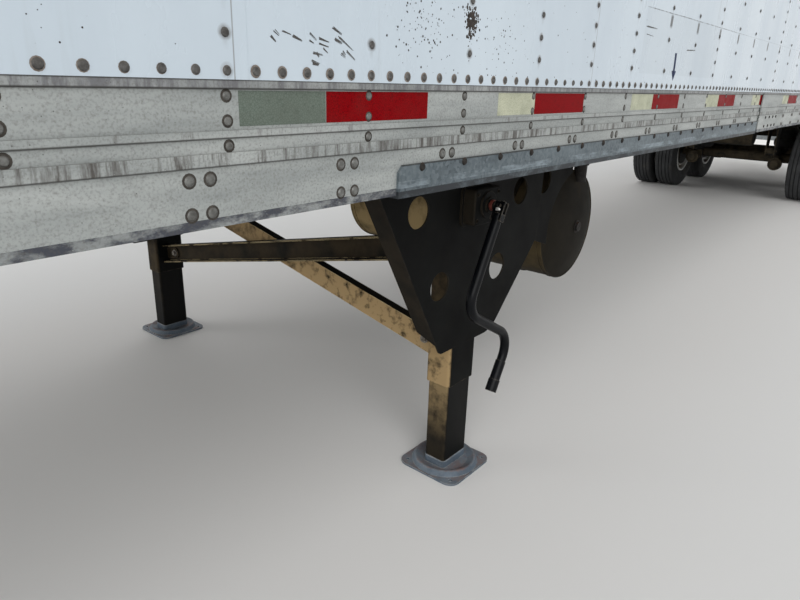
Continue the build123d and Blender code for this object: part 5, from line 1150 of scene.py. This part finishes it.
# lamps: a rubber grommet round each
grommets = {"rearZ": 1.226, "rearYs": (0.76, 0.90), "rearRadius": 0.055, "sideX": -8.1342, "sideZ": 1.266,
            "headYs": (-0.16, 0.0, 0.16), "headZ": 4.065, "amberY": 1.1754, "amberZ": 4.025,
            "smallRadius": 0.0345, "tube": 4.5 * mm, "smallTube": 3.15 * mm}
bm = bmesh.new()
small = [((sillX, y, grommets["headZ"]), (-1, 0, 0)) for y in grommets["headYs"]]
for side in bothSides:
    for y in grommets["rearYs"]:
        addRing(bm, (sillX, side * y, grommets["rearZ"]), (-1, 0, 0), grommets["rearRadius"],
                grommets["tube"])
    small.append(((grommets["sideX"], side * sideY, grommets["sideZ"]), (0, side, 0)))
    small.append(((noseX, side * grommets["amberY"], grommets["amberZ"]), (1, 0, 0)))
for place, axis in small:
    addRing(bm, place, axis, grommets["smallRadius"], grommets["smallTube"])
turnOutward(bm)
putPiece("lamp_grommets", bm, "sealGrey")

# mud flaps: moulded ribs, and a clamp strip with bolts along the top
flapLow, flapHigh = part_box("mud_flaps")
flap = {"width": 0.610, "ribs": 9, "ribHalf": 3.5 * mm, "ribProud": 2.5 * mm, "ribLow": 0.04,
        "ribTop": 0.885, "ribEdge": 1.2 * mm, "strip": (0.915, 0.955), "stripThick": 4 * mm,
        "stripShort": 4 * mm, "stripEdge": 1.5 * mm, "bolts": 5, "bolt": 7 * mm, "boltHigh": 5 * mm}
flapBoltShape = boltMesh("flapBoltShape", flap["bolt"], flap["boltHigh"])
ribs, strips = bmesh.new(), bmesh.new()
for side in bothSides:
    outer, inner = flapHigh.y, flapHigh.y - flap["width"]
    for k in range(flap["ribs"]):
        y = side * (inner + (k + 0.5) * flap["width"] / flap["ribs"])
        for faceX, proud in ((flapLow.x, -flap["ribProud"]), (flapHigh.x, flap["ribProud"])):
            addSlab(ribs, (faceX, faceX + proud), (y - flap["ribHalf"], y + flap["ribHalf"]),
                    (flapLow.z + flap["ribLow"], flap["ribTop"]), flap["ribEdge"])
    stripX = flapLow.x - flap["stripThick"]
    ys = (side * (outer - flap["stripShort"]), side * (inner + flap["stripShort"]))
    addSlab(strips, (stripX, flapLow.x), ys, flap["strip"], flap["stripEdge"])
    boltYs = [inner + (k + 0.5) * flap["width"] / flap["bolts"] for k in range(flap["bolts"])]
    addHeads(strips, flapBoltShape, [(stripX, side * y, sum(flap["strip"]) / 2) for y in boltYs], (-1, 0, 0))
putPiece("flap_ribs", ribs, "softRubber")
putPiece("flap_clamp_strips", strips, "zincPlate")

# cooling unit: a rubber seal against the nose, and screws along its sides
unitLow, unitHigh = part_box("cooling_unit")
unitFit = {"seal": 0.014, "deep": 0.016, "edge": 3 * mm, "screw": 5.5 * mm, "screwHigh": 2.4 * mm,
           "fromNose": 0.042, "fromFoot": 0.06, "fromTop": 0.10, "pitch": 0.26}
sealWide = Vector((0, unitFit["seal"], unitFit["seal"]))
bm = bmesh.new()
addFrame(bm, (noseX, noseX + unitFit["deep"]), unitLow - sealWide, unitHigh + sealWide, unitFit["seal"],
         unitFit["edge"])
putPiece("unit_seal", bm, "sealGrey")
screwDome = domeMesh("screwDome", unitFit["screw"], unitFit["screwHigh"], segments=12)
screwZs = steps(unitLow.z + unitFit["fromFoot"], unitHigh.z - unitFit["fromTop"], unitFit["pitch"])
bm = bmesh.new()
for side in bothSides:
    places = [(noseX + unitFit["fromNose"], side * unitHigh.y, z) for z in screwZs]
    addHeads(bm, screwDome, places, (0, side, 0))
putPiece("unit_screws", bm, "zincPlate")

# roof: a cover strip over each seam
roofLow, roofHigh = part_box("roof")
cover = {"half": 0.020, "thick": 1.6 * mm, "sunk": 0.2 * mm, "edge": 0.6 * mm, "clearSide": 0.02,
         "clearRear": 0.2, "clearFront": 0.1}
coverXs = steps(firstRivetX - sheetSeam + 2 * sheetLength, roofLow.x + cover["clearRear"], sheetLength)
bm = bmesh.new()
for x in coverXs:
    if x < roofHigh.x - cover["clearFront"]:
        addSlab(bm, (x - cover["half"], x + cover["half"]),
                (roofLow.y + cover["clearSide"], roofHigh.y - cover["clearSide"]),
                (roofHigh.z - cover["sunk"], roofHigh.z + cover["thick"]), cover["edge"])
putPiece("roof_seams", bm, "whitePanel")
print("rear, flaps, unit and roof fitted")

# camera: where the photographer stood, beside the nose and looking back and down under the rail
camera = {"place": (5.9886, 2.0998, 1.3571), "heading": -140.340, "down": 19.528, "roll": 1.793,
          "lens": 27.97, "sensor": 36.0, "nearest": 0.01, "farthest": 500.0}
shot = bpy.data.cameras.new("photoCamera")
shot.lens = camera["lens"]
shot.sensor_width = camera["sensor"]
shot.clip_start = camera["nearest"]
shot.clip_end = camera["farthest"]
photographer = bpy.data.objects.new("photoCamera", shot)
scene.collection.objects.link(photographer)
turn = (Matrix.Rotation(math.radians(camera["heading"] - 90), 4, "Z")
        @ Matrix.Rotation(math.radians(90 - camera["down"]), 4, "X")
        @ Matrix.Rotation(math.radians(camera["roll"]), 4, "Z"))
photographer.matrix_world = Matrix.Translation(camera["place"]) @ turn
scene.camera = photographer

# floor: plain, pale and wide, and as white as the sky where the camera sees it far away
ground = {"reach": 150.0, "paint": tint(222, 221, 219), "rough": 0.9, "specular": 0.1,
          "white": tint(250, 250, 250), "whiten": (16.0, 60.0)}
bm = bmesh.new()
bmesh.ops.create_grid(bm, x_segments=1, y_segments=1, size=ground["reach"])
floorMesh = toMesh("studioFloor", bm)
studioFloor = bpy.data.objects.new("studioFloor", floorMesh)
scene.collection.objects.link(studioFloor)
floorPaint, floorTree, floorShader, floorPlace = newMaterial("floorPaint")
floorShader.inputs["Base Color"].default_value = ground["paint"]
floorShader.inputs["Roughness"].default_value = ground["rough"]
floorShader.inputs["Specular IOR Level"].default_value = ground["specular"]
fromMiddle = floorTree.nodes.new("ShaderNodeVectorMath")
fromMiddle.operation = "LENGTH"
floorTree.links.new(floorPlace, fromMiddle.inputs[0])
farAway = remap(floorTree, fromMiddle.outputs["Value"], *ground["whiten"])
rayPath = floorTree.nodes.new("ShaderNodeLightPath").outputs
whitened = floorTree.nodes.new("ShaderNodeEmission")
whitened.inputs["Color"].default_value = ground["white"]
blendOut = floorTree.nodes.new("ShaderNodeMixShader")
feed(floorTree, times(floorTree, farAway, rayPath["Is Camera Ray"]), blendOut.inputs[0])
floorTree.links.new(floorShader.outputs[0], blendOut.inputs[1])
floorTree.links.new(whitened.outputs[0], blendOut.inputs[2])
floorTree.links.new(blendOut.outputs[0], floorTree.nodes["Material Output"].inputs["Surface"])
floorMesh.materials.append(floorPaint)

# light: an even sky that looks white, and three broad suns
light = {"sky": 0.66, "white": tint(250, 250, 250),
         # where it comes from as seen from the trailer, strength, and how wide it looks in degrees
         "key": ((6.0, 6.2, 5.9), 1.75, 50.0), "front": ((8.0, -7.4, 2.2), 0.95, 30.0),
         "fill": ((-8.0, -8.0, 6.5), 0.80, 60.0)}
world = bpy.data.worlds.new("studioSky")
scene.world = world
world.use_nodes = True
skyTree = world.node_tree
sky = skyTree.nodes["Background"]
sky.inputs["Color"].default_value = light["white"]
skyPath = skyTree.nodes.new("ShaderNodeLightPath").outputs
seen = calc(skyTree, "MAXIMUM", skyPath["Is Camera Ray"], skyPath["Is Glossy Ray"])
seen = calc(skyTree, "MAXIMUM", seen, skyPath["Is Transmission Ray"])
feed(skyTree, remap(skyTree, seen, 0.0, 1.0, light["sky"], 1.0), sky.inputs["Strength"])
for name in ("key", "front", "fill"):
    source, strength, width = light[name]
    lamp = bpy.data.lights.new(f"{name}Sun", "SUN")
    lamp.energy = strength
    lamp.angle = math.radians(width)
    holder = bpy.data.objects.new(f"{name}Sun", lamp)
    scene.collection.objects.link(holder)
    holder.rotation_euler = (-Vector(source)).to_track_quat("-Z", "Y").to_euler()
scene.view_settings.view_transform = "Standard"
print("camera, floor and lights ready")
